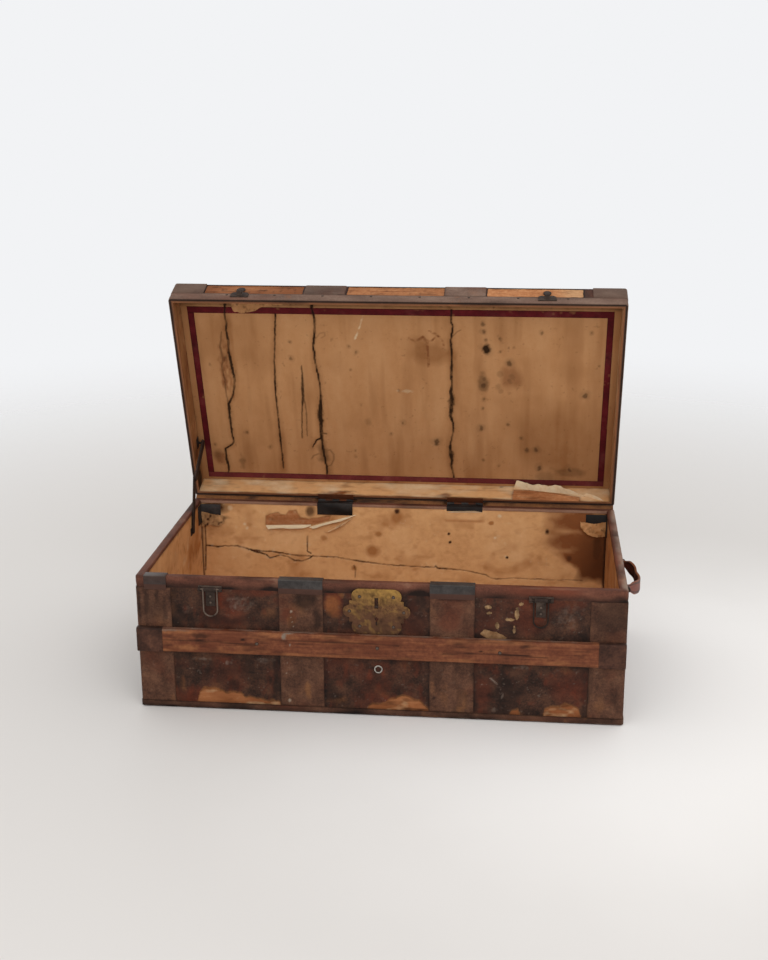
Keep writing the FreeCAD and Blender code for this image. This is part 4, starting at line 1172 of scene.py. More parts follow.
@dataclass
class CaseLeather:
    """Upright leather bands and the leathers round the corners."""

    cell: float = 2.2
    marks: tuple[Mark, ...] = (
        (DUST, -162, 223, 1.4, 2.4, 1.4), (DUST, -160, 203, 2.4, 3.2, 1.6),
        (DUST, -160, 191, 1.4, 2.4, 1.3), (DUST, -158, 182, 1.3, 2.2, 1.3),
        (DUST, -157, 174, 1.2, 2.2, 1.3), (DUST, -169, 100, 1.4, 2.2, 1.3), (DUST, -171, 79, 1.4, 2.4, 1.3),
        (DUST, -167, 24, 3.0, 4.0, 1.6), (TINT, -166, 198, 20, 26, 1.0), (BARE, -132, 46, 8, 25, 0.6),
        (BARE, -160, 186, 14, 20, 0.4), (GRIME, -130, 226, 34, 22, 0.8), (GRIME, -112, 190, 12, 34, 0.8),
        (GRIME, 136, 238, 40, 6, 0.7), (BARE, 160, 31, 6, 20, 0.5), (GRIME, 104, 40, 4, 4, 0.9),
        (TINT, 130, 200, 30, 30, 0.8))
    corner_marks: tuple[Mark, ...] = (
        (GRIME, 84, 215, 8, 60, 0.8), (GRIME, 104, 228, 6, 50, 0.7), (GRIME, 118, 196, 8, 40, 0.6),
        (GRIME, 70, 208, 5, 50, 0.9), (GRIME, 96, 200, 40, 34, 0.5), (GRIME, 36, 205, 60, 48, 0.65))

    @staticmethod
    def _wear(span: Box, seed: int, marks: Sequence[Mark] = ()) -> Field:
        """Dark edges, dry rubs and the marks of its place.

        Args:
            span: The leather's layout.
            seed: Picks its unevenness.
            marks: What it has had besides.

        Returns:
            A field of wear.
        """
        def field(a: Array, b: Array) -> Array:
            """Wear at places on the leather."""
            stain = Stain(a, b, 0.6, seed)
            stain.add(BARE, 0.2 * patchy(a, b * 0.5, 26, seed, 0.2))
            stain.add(BARE, 0.3 * unit(1 - (b - span[2]) / 60) * patchy(a, b, 18, seed + 1, 0.1))
            stain.add(GRIME, 0.4 * rim_of(a, b, span, 3.0) + 0.35 * patchy(a, b * 0.35, 16, seed + 2, 0.05))
            stain.add(DUST, 0.12 * patchy(a, b, 7, seed + 3, 0.2))
            stain.add(TINT, 0.45 * patchy(a, b, 45, seed + 4))
            stain.marks(marks, 0.7)
            return stain.masks()
        return field

    @staticmethod
    def _relief(span: Box, seed: int) -> Field:
        """Edges rubbed thin and small creases."""
        return lambda a, b: 0.2 * rough(a, b, 22, seed) - 0.5 * rim_of(a, b, span, 2.5)

    def build(self) -> None:
        """Lay the bands on the front and the back, then the corners."""
        for face, y, sign in (("front", -HALF_WIDTH - LEATHER, 1), ("back", HALF_WIDTH + LEATHER, -1)):
            bands = []
            for side, middle in BAND_PLACES.items():
                centre = middle * sign
                span = (centre - BAND_HALF, centre + BAND_HALF, BASE_TOP, BAND_TOP)
                seed = 201 + int(abs(middle)) + (0 if sign > 0 else 50)
                wall = Wall((0, y, 0), (sign, 0, 0), (0, 0, 1))
                bands.append(Sheet(f"{face}_band_{side}", span, self.cell, wall, LEATHER - 0.05,
                                   relief=self._relief(span, seed),
                                   wear=self._wear(span, seed, self.marks if sign > 0 else ())).build())
            fit(join(f"{face}_leather_bands", bands), LEATHER_FINISH, "case", f"{face}_bands")
        x, y = HALF_LENGTH + LEATHER, HALF_WIDTH + LEATHER
        reach = CORNER_REACH + LEATHER
        corners = []
        for i, (sx, sy) in enumerate(((-1, -1), (1, -1), (1, 1), (-1, 1))):
            ends = [(sx * x, sy * (y - reach)), (sx * x, sy * y), (sx * (x - reach), sy * y)]
            line = Line(ends if sx * sy > 0 else ends[::-1], CORNER + LEATHER)
            span = (0.0, line.length, BASE_TOP, BAND_TOP)
            wear = self._wear(span, 270 + 7 * i, self.corner_marks[:i * 2 + 5] if i < 2 else ())
            corners.append(Sheet(f"corner_leather_{i}", span, self.cell, PlanWrap(line), LEATHER - 0.05,
                                 relief=self._relief(span, 260 + i), wear=wear).build())
        fit(join("corner_leathers_laid", corners), LEATHER_FINISH, "case", "corner_leathers")


@dataclass
class Bindings:
    """Leather over the rim, the dark strip round the base and the strip round the lid."""

    cell: float = 3.0
    thick: float = 1.1
    proud: float = 1.2
    rim_round: float = 3.2
    inner_return: float = 6.0
    base_proud: float = 3.0
    base_round: float = 1.4

    @staticmethod
    def _wear(length: float, crown_at: float, seed: int, front: float, under: float) -> Field:
        """Rubbed crown, dark foot and stray scuffs.

        Args:
            length: Length of the binding's section.
            crown_at: Where along the section its crown is.
            seed: Picks the unevenness.
            front: Length of the front run, which is kept darker than the worn right end after it.
            under: Width of an under side with a black outer edge, or none.

        Returns:
            A field of wear.
        """
        def field(a: Array, b: Array) -> Array:
            """Wear at places on the binding."""
            side = front + 2 * HALF_WIDTH
            end = unit((a - front) / 12) * unit((side - a) / 12)
            back = unit((a - side) / 12) * unit((side + front - a) / 12)
            crown = unit(1 - np.abs(b - crown_at) / (6 + 4 * end))
            stain = Stain(a, b)
            stain.add(BARE, crown * (0.4 + 0.6 * end) * patchy(a * 0.4, b, 24, seed, -0.1 - 0.3 * end))
            stain.add(BARE, 0.4 * patchy(a, b, 24, seed + 1, 0.4))
            stain.add(GRIME, (0.25 if under else 0.6) * patchy(a * 0.5, b, 30, seed + 2))
            stain.add(GRIME, 0.5 * unit(1 - (length - b) / 4) * (1 - back))
            stain.add(DUST, crown * (0.25 + 0.8 * end) * patchy(a * 0.5, b, 16, seed + 3, -0.1 - 0.3 * end))
            stain.add(TINT, 0.8 * patchy(a * 0.4, b, 60, seed + 4, -0.1) * unit(b / 10))
            if under:
                stain.add(GRIME, 1.2 * unit((b - 2.5) / 2) * unit((under + 1 - b) / 1.5))
                stain.add(BARE, 0.8 * unit((5 - b) / 2))
            else:
                stain.add(GRIME, 0.7 * unit(1.2 - b / 13) * (0.8 + 0.6 * rough(a * 0.4, b, 14, seed + 5)))
                stain.add(BARE, back * unit((b - 33) / 4) * (0.9 + 0.4 * rough(a, b, 20, seed + 6)))
            return stain.masks()
        return field

    @staticmethod
    def _dents(depth: float, seed: int, feather: float) -> Field:
        """Knocks that go inwards only, and a lower edge that thins out."""
        return lambda a, b: (-depth * unit(rough(a, b, 26, seed)) - 0.15 * np.abs(rough(a, b, 9, seed + 1))
                             - feather * unit(1 - b / 9))

    def build(self) -> None:
        """Carry each binding round the trunk."""
        out, level = self.proud, CASE_HEIGHT
        within = CLEAR_X - HALF_LENGTH - self.proud
        rim = Line([(out, BAND_TOP), (out, level), (within, level), (within, level - self.inner_return)],
                   self.rim_round)
        base = Line([(0.4, 0.7), (self.base_proud, 0.7), (self.base_proud, BASE_TOP), (0.4, BASE_TOP)],
                    self.base_round)
        strip = Line([(LID_CLEAR_X - HALF_LENGTH, RIM), (out, RIM), (out, STRIP_TOP)], 1.4)
        for name, node, section, finish, lid, crown, dent, feather in (
                ("rim_binding_laid", "rim_binding", rim, RIM_LEATHER, False, 24.0, 0.3, 0.9),
                ("base_strip", "base_binding", base, LEATHER_FINISH, False, 3.0, 0.8, 0.0),
                ("lid_strip", "lid_rim_strip", strip, FADED_LEATHER, True, 40.0, 0.35, 0.0)):
            place = Moulding(section)
            seed = 311 + len(name)
            sheet = Sheet(name, (0.0, place.plan.length, 0.0, section.length), self.cell, place, self.thick,
                          lid=lid, ring=True, relief=self._dents(dent, seed, feather),
                          wear=self._wear(section.length, crown, seed + 10, 2 * HALF_LENGTH,
                                          HALF_LENGTH - LID_CLEAR_X if lid else 0.0))
            fit(sheet.build(), finish, "lid" if lid else "case", node)


@dataclass
class Slats:
    """The varnished slats, their end caps and nails."""

    cell: float = 2.4
    low: float = 118.0
    high: float = 164.0
    back: float = HALF_WIDTH + LEATHER
    face: float = HALF_WIDTH + LEATHER + 11.0
    edge: float = 3.2
    splits: tuple[tuple[Triple, ...], ...] = (
        ((-402, 33, 0.5), (-330, 35, 1.0), (-250, 31, 0.5)),
        ((-180, 40, 0.4), (-60, 42, 0.8), (40, 39, 0.4)),
        ((120, 27, 0.4), (230, 30, 0.9), (310, 26, 0.4)))
    marks: tuple[Mark, ...] = (
        (DUST, -173, 50, 6, 8, 1.5), (DUST, -166, 56, 12, 3, 1.3), (DUST, -162, 33, 2, 2.5, 1.2),
        (DUST, -400, 54, 60, 4, 0.6), (GRIME, -330, 44, 26, 8, 0.9), (GRIME, -240, 30, 30, 5, 0.8),
        (GRIME, -250, 40, 8, 3, 1.2), (GRIME, 190, 34, 7, 4, 1.2), (BARE, -360, 20, 30, 8, 0.7))

    def _dents(self, a: Array, b: Array) -> Array:
        """Knocks, long splits and a worn upper edge.

        Args:
            a: Places along the layout.
            b: Places across it.

        Returns:
            Heights, in millimetres.
        """
        upper, lower = unit(1 - np.abs(b - 56) / 7), unit(1 - np.abs(b - 12) / 5)
        cuts = sum(seam(a, b, line) for line in self.splits)
        return (-1.6 * upper * unit(rough(a, b, 38, 401) + 0.05) - 0.9 * lower * unit(rough(a, b, 30, 402))
                - 0.12 * np.abs(rough(a * 0.08, b, 2.4, 403)) - 0.6 * cuts)

    def _wear(self, a: Array, b: Array) -> Array:
        """Varnish gone from edges, dust on top and dark streaks.

        Args:
            a: Places along the layout.
            b: Places across it.

        Returns:
            The four kinds of wear.
        """
        upper, lower = unit(1 - np.abs(b - 52) / 7), unit(1 - np.abs(b - 13) / 6)
        stain = Stain(a, b, 0.7, 420)
        stain.add(BARE, upper * (0.1 + 0.4 * patchy(a, b, 50, 411, -0.1))
                  + lower * (0.15 + 0.5 * patchy(a, b, 40, 412, -0.1)))
        stain.add(BARE, 0.35 * patchy(a * 0.22, b, 9, 413, 0.1))
        stain.add(GRIME, 0.4 * patchy(a * 0.2, b, 6, 414, 0.1) + 0.3 * patchy(a, b, 40, 417, 0.1))
        stain.add(GRIME, 0.5 * sum(seam(a, b, line) for line in self.splits) + 0.5 * unit(1 - b / 9))
        stain.add(DUST, unit((b - 56) / 4) * (0.3 + 0.4 * rough(a, b, 18, 415)))
        stain.add(TINT, 0.6 * patchy(a * 0.3, b, 20, 416))
        stain.marks(self.marks, 0.7)
        return stain.masks()

    def build(self) -> None:
        """Shape a slat for the front and one for the back."""
        for name, sign in (("front", -1), ("back", 1)):
            corners = [(self.back, self.low), (self.face, self.low), (self.face, self.high),
                       (self.back, self.high)]
            section = Line([(sign * y, z) for y, z in (corners if sign < 0 else corners[::-1])], self.edge)
            sheet = Sheet(f"{name}_slat_planed", (-HALF_LENGTH, HALF_LENGTH, 0.0, section.length), self.cell,
                          SectionWrap(section), 5.0, relief=self._dents, wear=self._wear)
            fit(sheet.build(), SLAT_WOOD, "case", f"{name}_slat")
        fit(soften("slat_end_caps", 0.8, bare=0.4, grime=0.6), CAP_IRON, "case", "slat_end_caps",
            lie=Lie.ALONG)
        nails = domes("slat_nail_heads", [(x, -self.face, 141.0) for x in (-224, 0, 224)], 3.4, 1.6)
        fit(nails, IRON, "case", "slat_nails")


def bare_pine(a: Array, b: Array) -> Array:
    """Wear of boards where the lining has been pulled off: glue stains and a little dirt.

    Args:
        a: Places along the layout.
        b: Places across it.

    Returns:
        The four kinds of wear.
    """
    stain = Stain(a, b)
    stain.add(TINT, 0.25 + 0.5 * rough(a * 0.4, b, 20, 491))
    stain.add(GRIME, 0.4 * patchy(a * 0.3, b, 6, 492, 0.1))
    stain.add(DUST, 0.4 * patchy(a * 0.5, b, 9, 493, 0.2))
    return stain.masks()


@dataclass
class CaseLining:
    """Buff paper on the inside of the case, cracked along the back boards and torn by the hinges."""

    cell: float = 2.0
    plain_cell: float = 5.5
    top: float = 257.5
    cracks: tuple[tuple[Triple, ...], ...] = (
        ((-428, 161, 1.6), (-401, 158, 2.4), (-390, 160, 1.4), (-357, 161, 1.4), (-322, 152, 1.6),
         (-304, 150, 1.3), (-286, 151, 1.5), (-225, 143, 2.0), (-141, 142, 1.3), (-120, 138, 1.3),
         (-28, 128, 1.2), (72, 125, 1.4), (75, 129, 1.6), (79, 124, 1.3), (128, 122, 1.2), (171, 115, 1.5),
         (184, 112, 1.5), (193, 106, 1.5), (206, 103, 1.5), (244, 107, 1.0), (330, 105, 1.0),
         (364, 107, 1.0), (389, 106, 0.8)),
        ((-339, 156, 0.8), (-317, 148, 1.2), (-295, 143, 1.2), (-287, 135, 1.3), (-264, 143, 1.1),
         (-247, 140, 1.3), (-234, 132, 1.2), (-216, 131, 1.1), (-198, 138, 1.2), (-192, 144, 1.0)),
        ((-203, 189, 0.5), (-204, 154, 1.6), (-196, 149, 1.4)),
        ((-102, 123, 2.4), (-99, 114, 1.3), (-100, 97, 1.0)),
        ((-428, 207, 1.6), (-428, 161, 2.0), (-431, 102, 1.0)))
    tear: tuple[Pair, ...] = (
        (-293, 212), (-292, 232), (-282, 236), (-266, 240), (-262, 235), (-249, 235), (-241, 244),
        (-227, 246), (-223, 238), (-218, 230), (-201, 227), (-179, 230), (-166, 234), (-152, 236),
        (-157, 226), (-175, 220), (-197, 215), (-236, 213))
    brown: tuple[Pair, ...] = (
        (304, 266), (309, 231), (303, 209), (300, 186), (311, 173), (332, 165), (358, 147), (380, 134),
        (389, 112), (423, 104), (440, 100), (440, 266))
    marks: tuple[Mark, ...] = (
        (GRIME, -8, 251, 8, 9, 0.9), (GRIME, 103, 203, 4, 4, 1.2), (GRIME, 106, 184, 4, 4, 1.2),
        (GRIME, 228, 153, 4, 4, 1.2), (TINT, 193, 230, 7, 6, 1.2), (GRIME, 360, 156, 9, 10, 0.6),
        (GRIME, 312, 214, 6, 8, 0.9), (TINT, -60, 159, 20, 17, 0.9), (TINT, -102, 118, 8, 8, 0.9),
        (TINT, -49, 198, 10, 9, 0.8), (TINT, -167, 185, 9, 8, 0.7), (TINT, -8, 236, 22, 26, 0.8),
        (DUST, 211, 246, 6, 5, 0.6), (DUST, 202, 197, 4, 4, 0.6), (DUST, 225, 156, 3, 3, 0.5),
        (DUST, -340, 212, 5, 5, 0.6), (DUST, -335, 203, 4, 5, 0.5), (DUST, -372, 248, 8, 8, 0.4),
        (GRIME, -406, 250, 40, 20, 0.8), (GRIME, -196, 246, 14, 16, 0.7), (GRIME, -400, 225, 34, 7, 0.6),
        (GRIME, 418, 176, 16, 60, 0.6), (GRIME, 136, 262, 60, 6, 0.8))
    arc: tuple[Triple, ...] = (
        (188, 128, 3.0), (210, 119, 5.0), (235, 123, 6.0), (256, 130, 6.0), (273, 142, 4.0))

    def _torn(self, a: Array, b: Array) -> Array:
        """Where the paper of the back wall is gone."""
        return inside(a, b, self.tear) + 1.2 * rough(a, b, 7, 501)

    def _cracks(self, a: Array, b: Array, more: float = 0.0) -> Array:
        """One along the cracks of the back wall, falling off beside them.

        Args:
            a: Places along the layout.
            b: Places across it.
            more: How much wider than the crack to reach.

        Returns:
            One on a crack, zero away from it.
        """
        low = b + 1.2 * rough(a, b, 7, 502)
        found = np.max([seam(a, low, line, 1.5 + more, 0.5) for line in self.cracks], axis=0)
        return found * unit(0.8 + 0.5 * rough(a, b, 14, 522) - 0.3 * (a > 190))

    def _relief(self, a: Array, b: Array) -> Array:
        """Boards shrunk apart, paper split and cockled over them, and a bulge over the right hinge.

        Args:
            a: Places along the layout.
            b: Places across it.

        Returns:
            Heights, in millimetres.
        """
        bulge = unit(1 - inside(a, b, ((98, 238), (174, 238), (174, 252), (98, 252))) / 9)
        return (0.5 * self._cracks(a, b, 9.0) - self._cracks(a, b) + 0.3 * rough(a, b, 45, 503)
                + 0.12 * rough(a, b, 12, 504) + 3.2 * bulge * bulge * (3 - 2 * bulge))

    def _wear(self, a: Array, b: Array) -> Array:
        """Cracks, stains, the bare end and pinholes of the back wall, and painted shade along its top under
        the rim.

        Args:
            a: Places along the layout.
            b: Places across it.

        Returns:
            The four kinds of wear.
        """
        stain = Stain(a, b, 0.4, 505)
        bare = unit(0.5 - (inside(a, b, self.brown) + 14 * rough(a, b, 26, 512)) / 26)
        halo = self._cracks(a, b, 12.0)
        stain.add(BARE, bare * (0.5 + 0.5 * unit((a - 310) / 100) + 0.5 * rough(a * 0.3, b, 22, 513)))
        stain.add(BARE, 0.6 * unit(1 - self._torn(a, b) / 4))
        stain.add(GRIME, 0.5 * bare * unit((a - 356) / 90 - (b - 196) / 160))
        stain.add(GRIME, 0.9 * self._cracks(a, b) + 0.2 * halo * patchy(a, b, 22, 514, -0.1))
        # Darker at both ends next to the side walls, and painted shade along the top under the rim.
        stain.add(GRIME, 0.8 * unit(1 - (436 - np.abs(a)) / 6) + 0.1 * unit((b - 250) / 10))
        stain.add(TINT, 0.55 * patchy(a, b, 46, 517, 0.05) + 0.3 * patchy(a * 0.6, b, 10, 518, 0.1))
        stain.add(TINT, 0.35 * seam(a, b + 3 * rough(a, b, 14, 519), self.arc, 9.0))
        stain.add(DUST, 0.35 * halo * patchy(a, b, 9, 520, 0.1)
                  + 0.2 * (1 - bare) * patchy(a, b, 8, 521, 0.45))
        stain.marks(self.marks)
        return stain.masks()

    @staticmethod
    def _plain_relief(i: int) -> Field:
        """Slight cockles of a plain wall, by its number."""
        return lambda a, b: 0.3 * rough(a, b, 50, 530 + i) + 0.12 * rough(a, b, 12, 540 + i)

    @staticmethod
    def _plain_wear(span: Box, seed: int, dark: float) -> Field:
        """Foxing, darker towards the edges and corners, and browned patches.

        Args:
            span: The wall's layout.
            seed: Picks the unevenness.
            dark: How brown the wall has gone.

        Returns:
            A field of wear.
        """
        def field(a: Array, b: Array) -> Array:
            """Wear at places on the wall."""
            stain = Stain(a, b)
            stain.add(GRIME, 0.4 * rim_of(a, b, span, 7.0) + 0.4 * patchy(a, b, 14, seed, 0.35))
            stain.add(TINT, dark + 0.6 * patchy(a, b, 60, seed + 1) + 0.4 * patchy(a, b, 12, seed + 2, 0.1))
            stain.add(BARE, dark * patchy(a, b, 50, seed + 3))
            stain.add(DUST, 0.25 * patchy(a, b, 20, seed + 4, 0.2))
            return stain.masks()
        return field

    def build(self) -> None:
        """Paper each wall and the floor."""
        low, wall = FLOOR, Wall((0, CLEAR_Y, 0), RIGHT, UP)
        halves = [Sheet(f"lining_back_{side}", (*run, low, self.top + 5.0), self.cell, wall, PAPER - 0.1,
                        torn=self._torn, relief=self._relief, wear=self._wear).build()
                  for side, run in (("left", (-CLEAR_X, 0.0)), ("right", (0.0, CLEAR_X)))]
        fit(halves[0], LINING_WITH_PAINTED_LIGHT, "case", "case_lining")
        fit(halves[1], LINING_WITH_PAINTED_LIGHT, "case")
        walls = {
            "front": (Wall((0, -CLEAR_Y, 0), LEFT, UP), (-CLEAR_X, CLEAR_X, low, self.top), 0.3),
            "left": (Wall((-CLEAR_X, 0, 0), BACK, UP), (-CLEAR_Y, CLEAR_Y, low, self.top), 0.25),
            "right": (Wall((CLEAR_X, 0, 0), FRONT, UP), (-CLEAR_Y, CLEAR_Y, low, self.top), 0.7),
            "floor": (Wall((0, 0, FLOOR), RIGHT, BACK), (-CLEAR_X, CLEAR_X, -CLEAR_Y, CLEAR_Y), 0.2),
        }
        bare = Sheet("back_bare_wood", (-300.0, -146.0, 206.0, 252.0), 2.4,
                     Wall((0, CLEAR_Y + 0.74, 0), RIGHT, UP), 0.3, wear=bare_pine)
        fit(bare.build(), PINE, "case")
        for i, (side, (wall, area, dark)) in enumerate(walls.items()):
            sheet = Sheet(f"lining_{side}", area, self.plain_cell, wall, PAPER - 0.1,
                          relief=self._plain_relief(i),
                          wear=self._plain_wear(area, 550 + 10 * i, dark))
            fit(sheet.build(), LINING_WITH_PAINTED_LIGHT, "case")


@dataclass
class LidLining:
    """The papered panel inside the lid, its walls and the maroon tape."""

    cell: float = 2.0
    wall_cell: float = 2.6
    spans: int = 5
    tape_thick: float = 0.5
    strips: tuple[Box, ...] = (
        (-429, 429, 181.2, 195.6), (-429, 429, -223.5, -210.5), (-429, -416, -210.5, 181.2),
        (416, 429, -210.5, 181.2))
    cracks: tuple[tuple[Triple, ...], ...] = (
        ((-349, 206, 1.4), (-353, 181, 1.4), (-351, 156, 1.7), (-354, 142, 1.2), (-351, 119, 2.4),
         (-353, 90, 2.4), (-347, 24, 1.8), (-353, -10, 1.3), (-366, -35, 2.2), (-367, -75, 2.4),
         (-366, -116, 1.2), (-364, -129, 1.4), (-369, -138, 1.3), (-385, -149, 1.4), (-385, -179, 2.4),
         (-382, -195, 1.6), (-384, -211, 1.0)),
        ((-248, 181, 1.0), (-259, 74, 1.2), (-263, 2, 1.1), (-261, -196, 1.2)),
        ((-171, 209, 2.0), (-173, 195, 1.6), (-169, 173, 2.0), (-171, 136, 2.0), (-176, 106, 1.8),
         (-174, 94, 1.4), (-175, 80, 1.6), (-169, 33, 1.0), (-167, -11, 2.0), (-171, -51, 3.8),
         (-172, -116, 3.0), (-171, -144, 2.0), (-166, -188, 1.3), (-166, -209, 1.0)),
        ((-172, -103, 1.6), (-161, -105, 0.8)),
        ((-172, -116, 1.8), (-183, -121, 1.4), (-193, -140, 0.8)),
        ((108, 195, 1.0), (107, 168, 1.0), (111, 159, 1.0), (106, 127, 1.6), (108, 85, 1.5), (106, 43, 2.4),
         (108, 24, 1.8), (105, 5, 3.0), (107, -15, 3.6), (104, -54, 3.2), (109, -69, 1.6), (109, -94, 1.4),
         (103, -124, 1.6), (102, -144, 3.0), (106, -165, 2.6), (105, -180, 1.8), (110, -211, 1.2)))
    streaks: tuple[tuple[float, tuple[Triple, ...]], ...] = (
        (1.0,
         ((-203, 61, 0.4), (-203, 37, 1.4), (-204, 17, 3.0), (-205, 3, 3.2), (-205, -12, 2.6),
          (-208, -32, 1.4), (-210, -52, 0.8), (-213, -92, 0.6), (-214, -117, 0.4))),
        (0.7, ((-205, -12, 1.2), (-202, -31, 1.0), (-201, -51, 0.8), (-202, -81, 0.6), (-203, -112, 0.4))),
        (0.6,
         ((-364, 138, 0.8), (-367, 119, 1.0), (-370, 105, 1.4), (-369, 91, 2.0), (-367, 72, 1.2),
          (-371, 57, 1.0), (-370, 43, 1.0), (-368, 24, 1.2), (-369, 4, 1.3), (-368, -16, 1.2),
          (-366, -35, 1.4))),
        (0.5, ((-198, -171, 0.8), (-192, -162, 1.6), (-182, -157, 1.8), (-171, -160, 1.4))),
        (0.5,
         ((-167, -150, 1.0), (-156, -146, 1.6), (-149, -157, 1.8), (-149, -171, 1.8), (-156, -185, 1.4),
          (-164, -189, 1.0))),
        (0.35, ((-169, 126, 0.7), (-160, 138, 1.0), (-150, 140, 1.2), (-150, 132, 1.0), (-158, 127, 0.7))),
        (0.5, ((106, 132, 0.8), (119, 146, 1.2), (126, 150, 0.7))))
    roots: tuple[tuple[Triple, ...], ...] = (
        ((22, 130, 1.2), (34, 123, 1.0), (50, 133, 1.6), (56, 125, 1.8), (65, 124, 1.4), (74, 131, 0.8)),
        ((62, 147, 0.8), (76, 140, 1.4), (84, 133, 1.2), (92, 115, 0.8)),
        ((58, 124, 1.8), (59, 99, 1.2), (60, 80, 1.2), (60, 66, 2.0)))
    scratch: tuple[Triple, ...] = (
        (-64, 192, 1.2), (-72, 174, 1.4), (-77, 156, 1.0), (-84, 138, 1.2), (-89, 127, 1.6))
    mould: tuple[Triple, ...] = (
        (171, 164, 6), (172, 147, 6), (176, 128, 5), (178, 106, 10), (173, 37, 8), (171, 21, 10),
        (174, -11, 5), (172, -33, 4), (168, -82, 7), (173, -163, 4), (206, 131, 5), (223, 111, 3),
        (233, 112, 3), (206, 102, 4), (225, 75, 8), (288, 145, 5), (387, 148, 4), (381, 1, 8),
        (224, -73, 5), (284, -134, 8), (265, -135, 6), (291, -180, 8), (206, -177, 3), (355, -183, 8),
        (3, -74, 5), (75, -120, 9), (405, 72, 3), (252, -105, 4), (-407, -139, 4), (-333, -106, 5),
        (-286, -141, 4), (-101, -147, 3), (-100, -161, 3), (-22, -101, 4), (-3, 5, 4), (-103, 109, 4),
        (-88, 95, 5), (-101, 53, 3), (-223, 117, 4), (-224, 78, 5), (-396, 61, 3), (-362, 77, 7))
    faint: tuple[Triple, ...] = (
        (207, 49, 9), (230, 43, 8), (202, 19, 8), (208, 9, 8), (227, 5, 6), (226, 34, 7), (298, -206, 18),
        (315, -200, 16), (-69, -73, 10), (-405, -170, 20))
    stains: tuple[Mark, ...] = (
        (TINT, 330, -110, 150, 110, 0.5), (TINT, -330, 110, 110, 90, 0.35), (GRIME, -171, -58, 8, 26, 0.8),
        (GRIME, -170, -150, 17, 38, 0.45), (GRIME, -350, -182, 9, 24, 0.35), (GRIME, 106, -22, 8, 30, 0.7),
        (GRIME, 104, -150, 8, 14, 0.7), (GRIME, 352, -190, 50, 16, 0.3), (GRIME, 172, 28, 14, 26, 0.45),
        (BARE, 225, 44, 34, 44, 0.5), (BARE, -400, -174, 18, 26, 0.6), (GRIME, 178, 106, 10, 14, 0.9),
        (TINT, 60, 100, 60, 34, 0.5))
    bare_wall: tuple[Pair, ...] = (
        (232, 262), (236, 269), (239, 303), (274, 304), (329, 293), (379, 284), (375, 262))

    def _cracks(self, a: Array, b: Array, more: float = 0.0) -> Array:
        """One along the cracks, falling off beside them.

        Args:
            a: Places along the layout.
            b: Places across it.
            more: How much wider than the crack to reach.

        Returns:
            One on a crack, zero away from it.
        """
        side = a + 1.0 * rough(a, b, 7, 601)
        found = np.max([seam(side, b, line, 1.4 + more, 0.9) for line in self.cracks], axis=0)
        return found * unit(0.85 + 0.5 * rough(a, b, 16, 602))

    def _relief(self, a: Array, b: Array) -> Array:
        """Shrunken boards: edges curl up at the joints, where the paper has split."""
        return (0.7 * self._cracks(a, b, 10.0) - 1.1 * self._cracks(a, b) + 0.4 * rough(a, b, 90, 604)
                + 0.12 * rough(a, b, 14, 605))

    def _wear(self, a: Array, b: Array) -> Array:
        """Cracks, damp streaks, mould and scratches of the panel, and painted shade along its front margin.

        Args:
            a: Places along the layout.
            b: Places across it.

        Returns:
            The four kinds of wear.
        """
        stain = Stain(a, b, 0.8, 606)
        halo = self._cracks(a, b, 9.0)
        stain.add(GRIME, 0.95 * self._cracks(a, b) + 0.2 * halo * patchy(a, b, 20, 611))
        stain.add(GRIME, 0.25 * patchy(a, b, 6, 616, 0.45) + 0.12 * patchy(a * 2, b * 0.15, 40, 618, 0.3))
        for strength, line in self.streaks:
            stain.over(GRIME, 0.75 * strength * seam(a + rough(a, b, 6, 612), b, line, 1.8, 0.7))
        stain.marks([(GRIME, x, y, wide * 1.9, wide * 2.2, 0.2) for x, y, wide in self.mould])
        stain.marks([(GRIME, x, y, wide * 0.9, wide * 1.2, 0.32 + 0.035 * wide) for x, y, wide in self.mould])
        stain.marks(self.stains)
        stain.marks([(GRIME, x, y, wide, wide * 1.2, 0.25) for x, y, wide in self.faint])
        stain.add(TINT, 0.2 * patchy(a, b, 70, 617) + 0.35 * patchy(a * 3, b * 0.3, 60, 619, 0.0))
        stain.add(TINT, 0.15 * unit(-b / 220) + 0.4 * halo)
        stain.add(TINT, 0.25 * rim_of(a, b, (-442, 442, -229.5, 229.5), 26))
        # Painted shade in the margin between the front strip of tape and the lid's front wall, which
        # overhangs it.
        stain.add(GRIME, 0.45 * unit((b - 193) / 8))
        for line in self.roots:
            stain.over(BARE, 0.8 * seam(a, b + 2 * rough(a, b, 9, 620), line, 2.6)
                       * (0.7 + rough(a, b, 5, 621)))
        stain.add(BARE, spot(a, b, (-362, 45), (20, 100), 0.9, 622) * patchy(a, b * 0.4, 6, 623, -0.4))
        stain.over(DUST, 1.2 * seam(a + rough(a, b, 6, 624), b, self.scratch, 1.0)
                   * patchy(a, b, 9, 625, -0.5))
        stain.over(DUST, 0.4 * spot(a, b, (13, 5), (22, 5), 0.9, 626))
        return stain.masks()

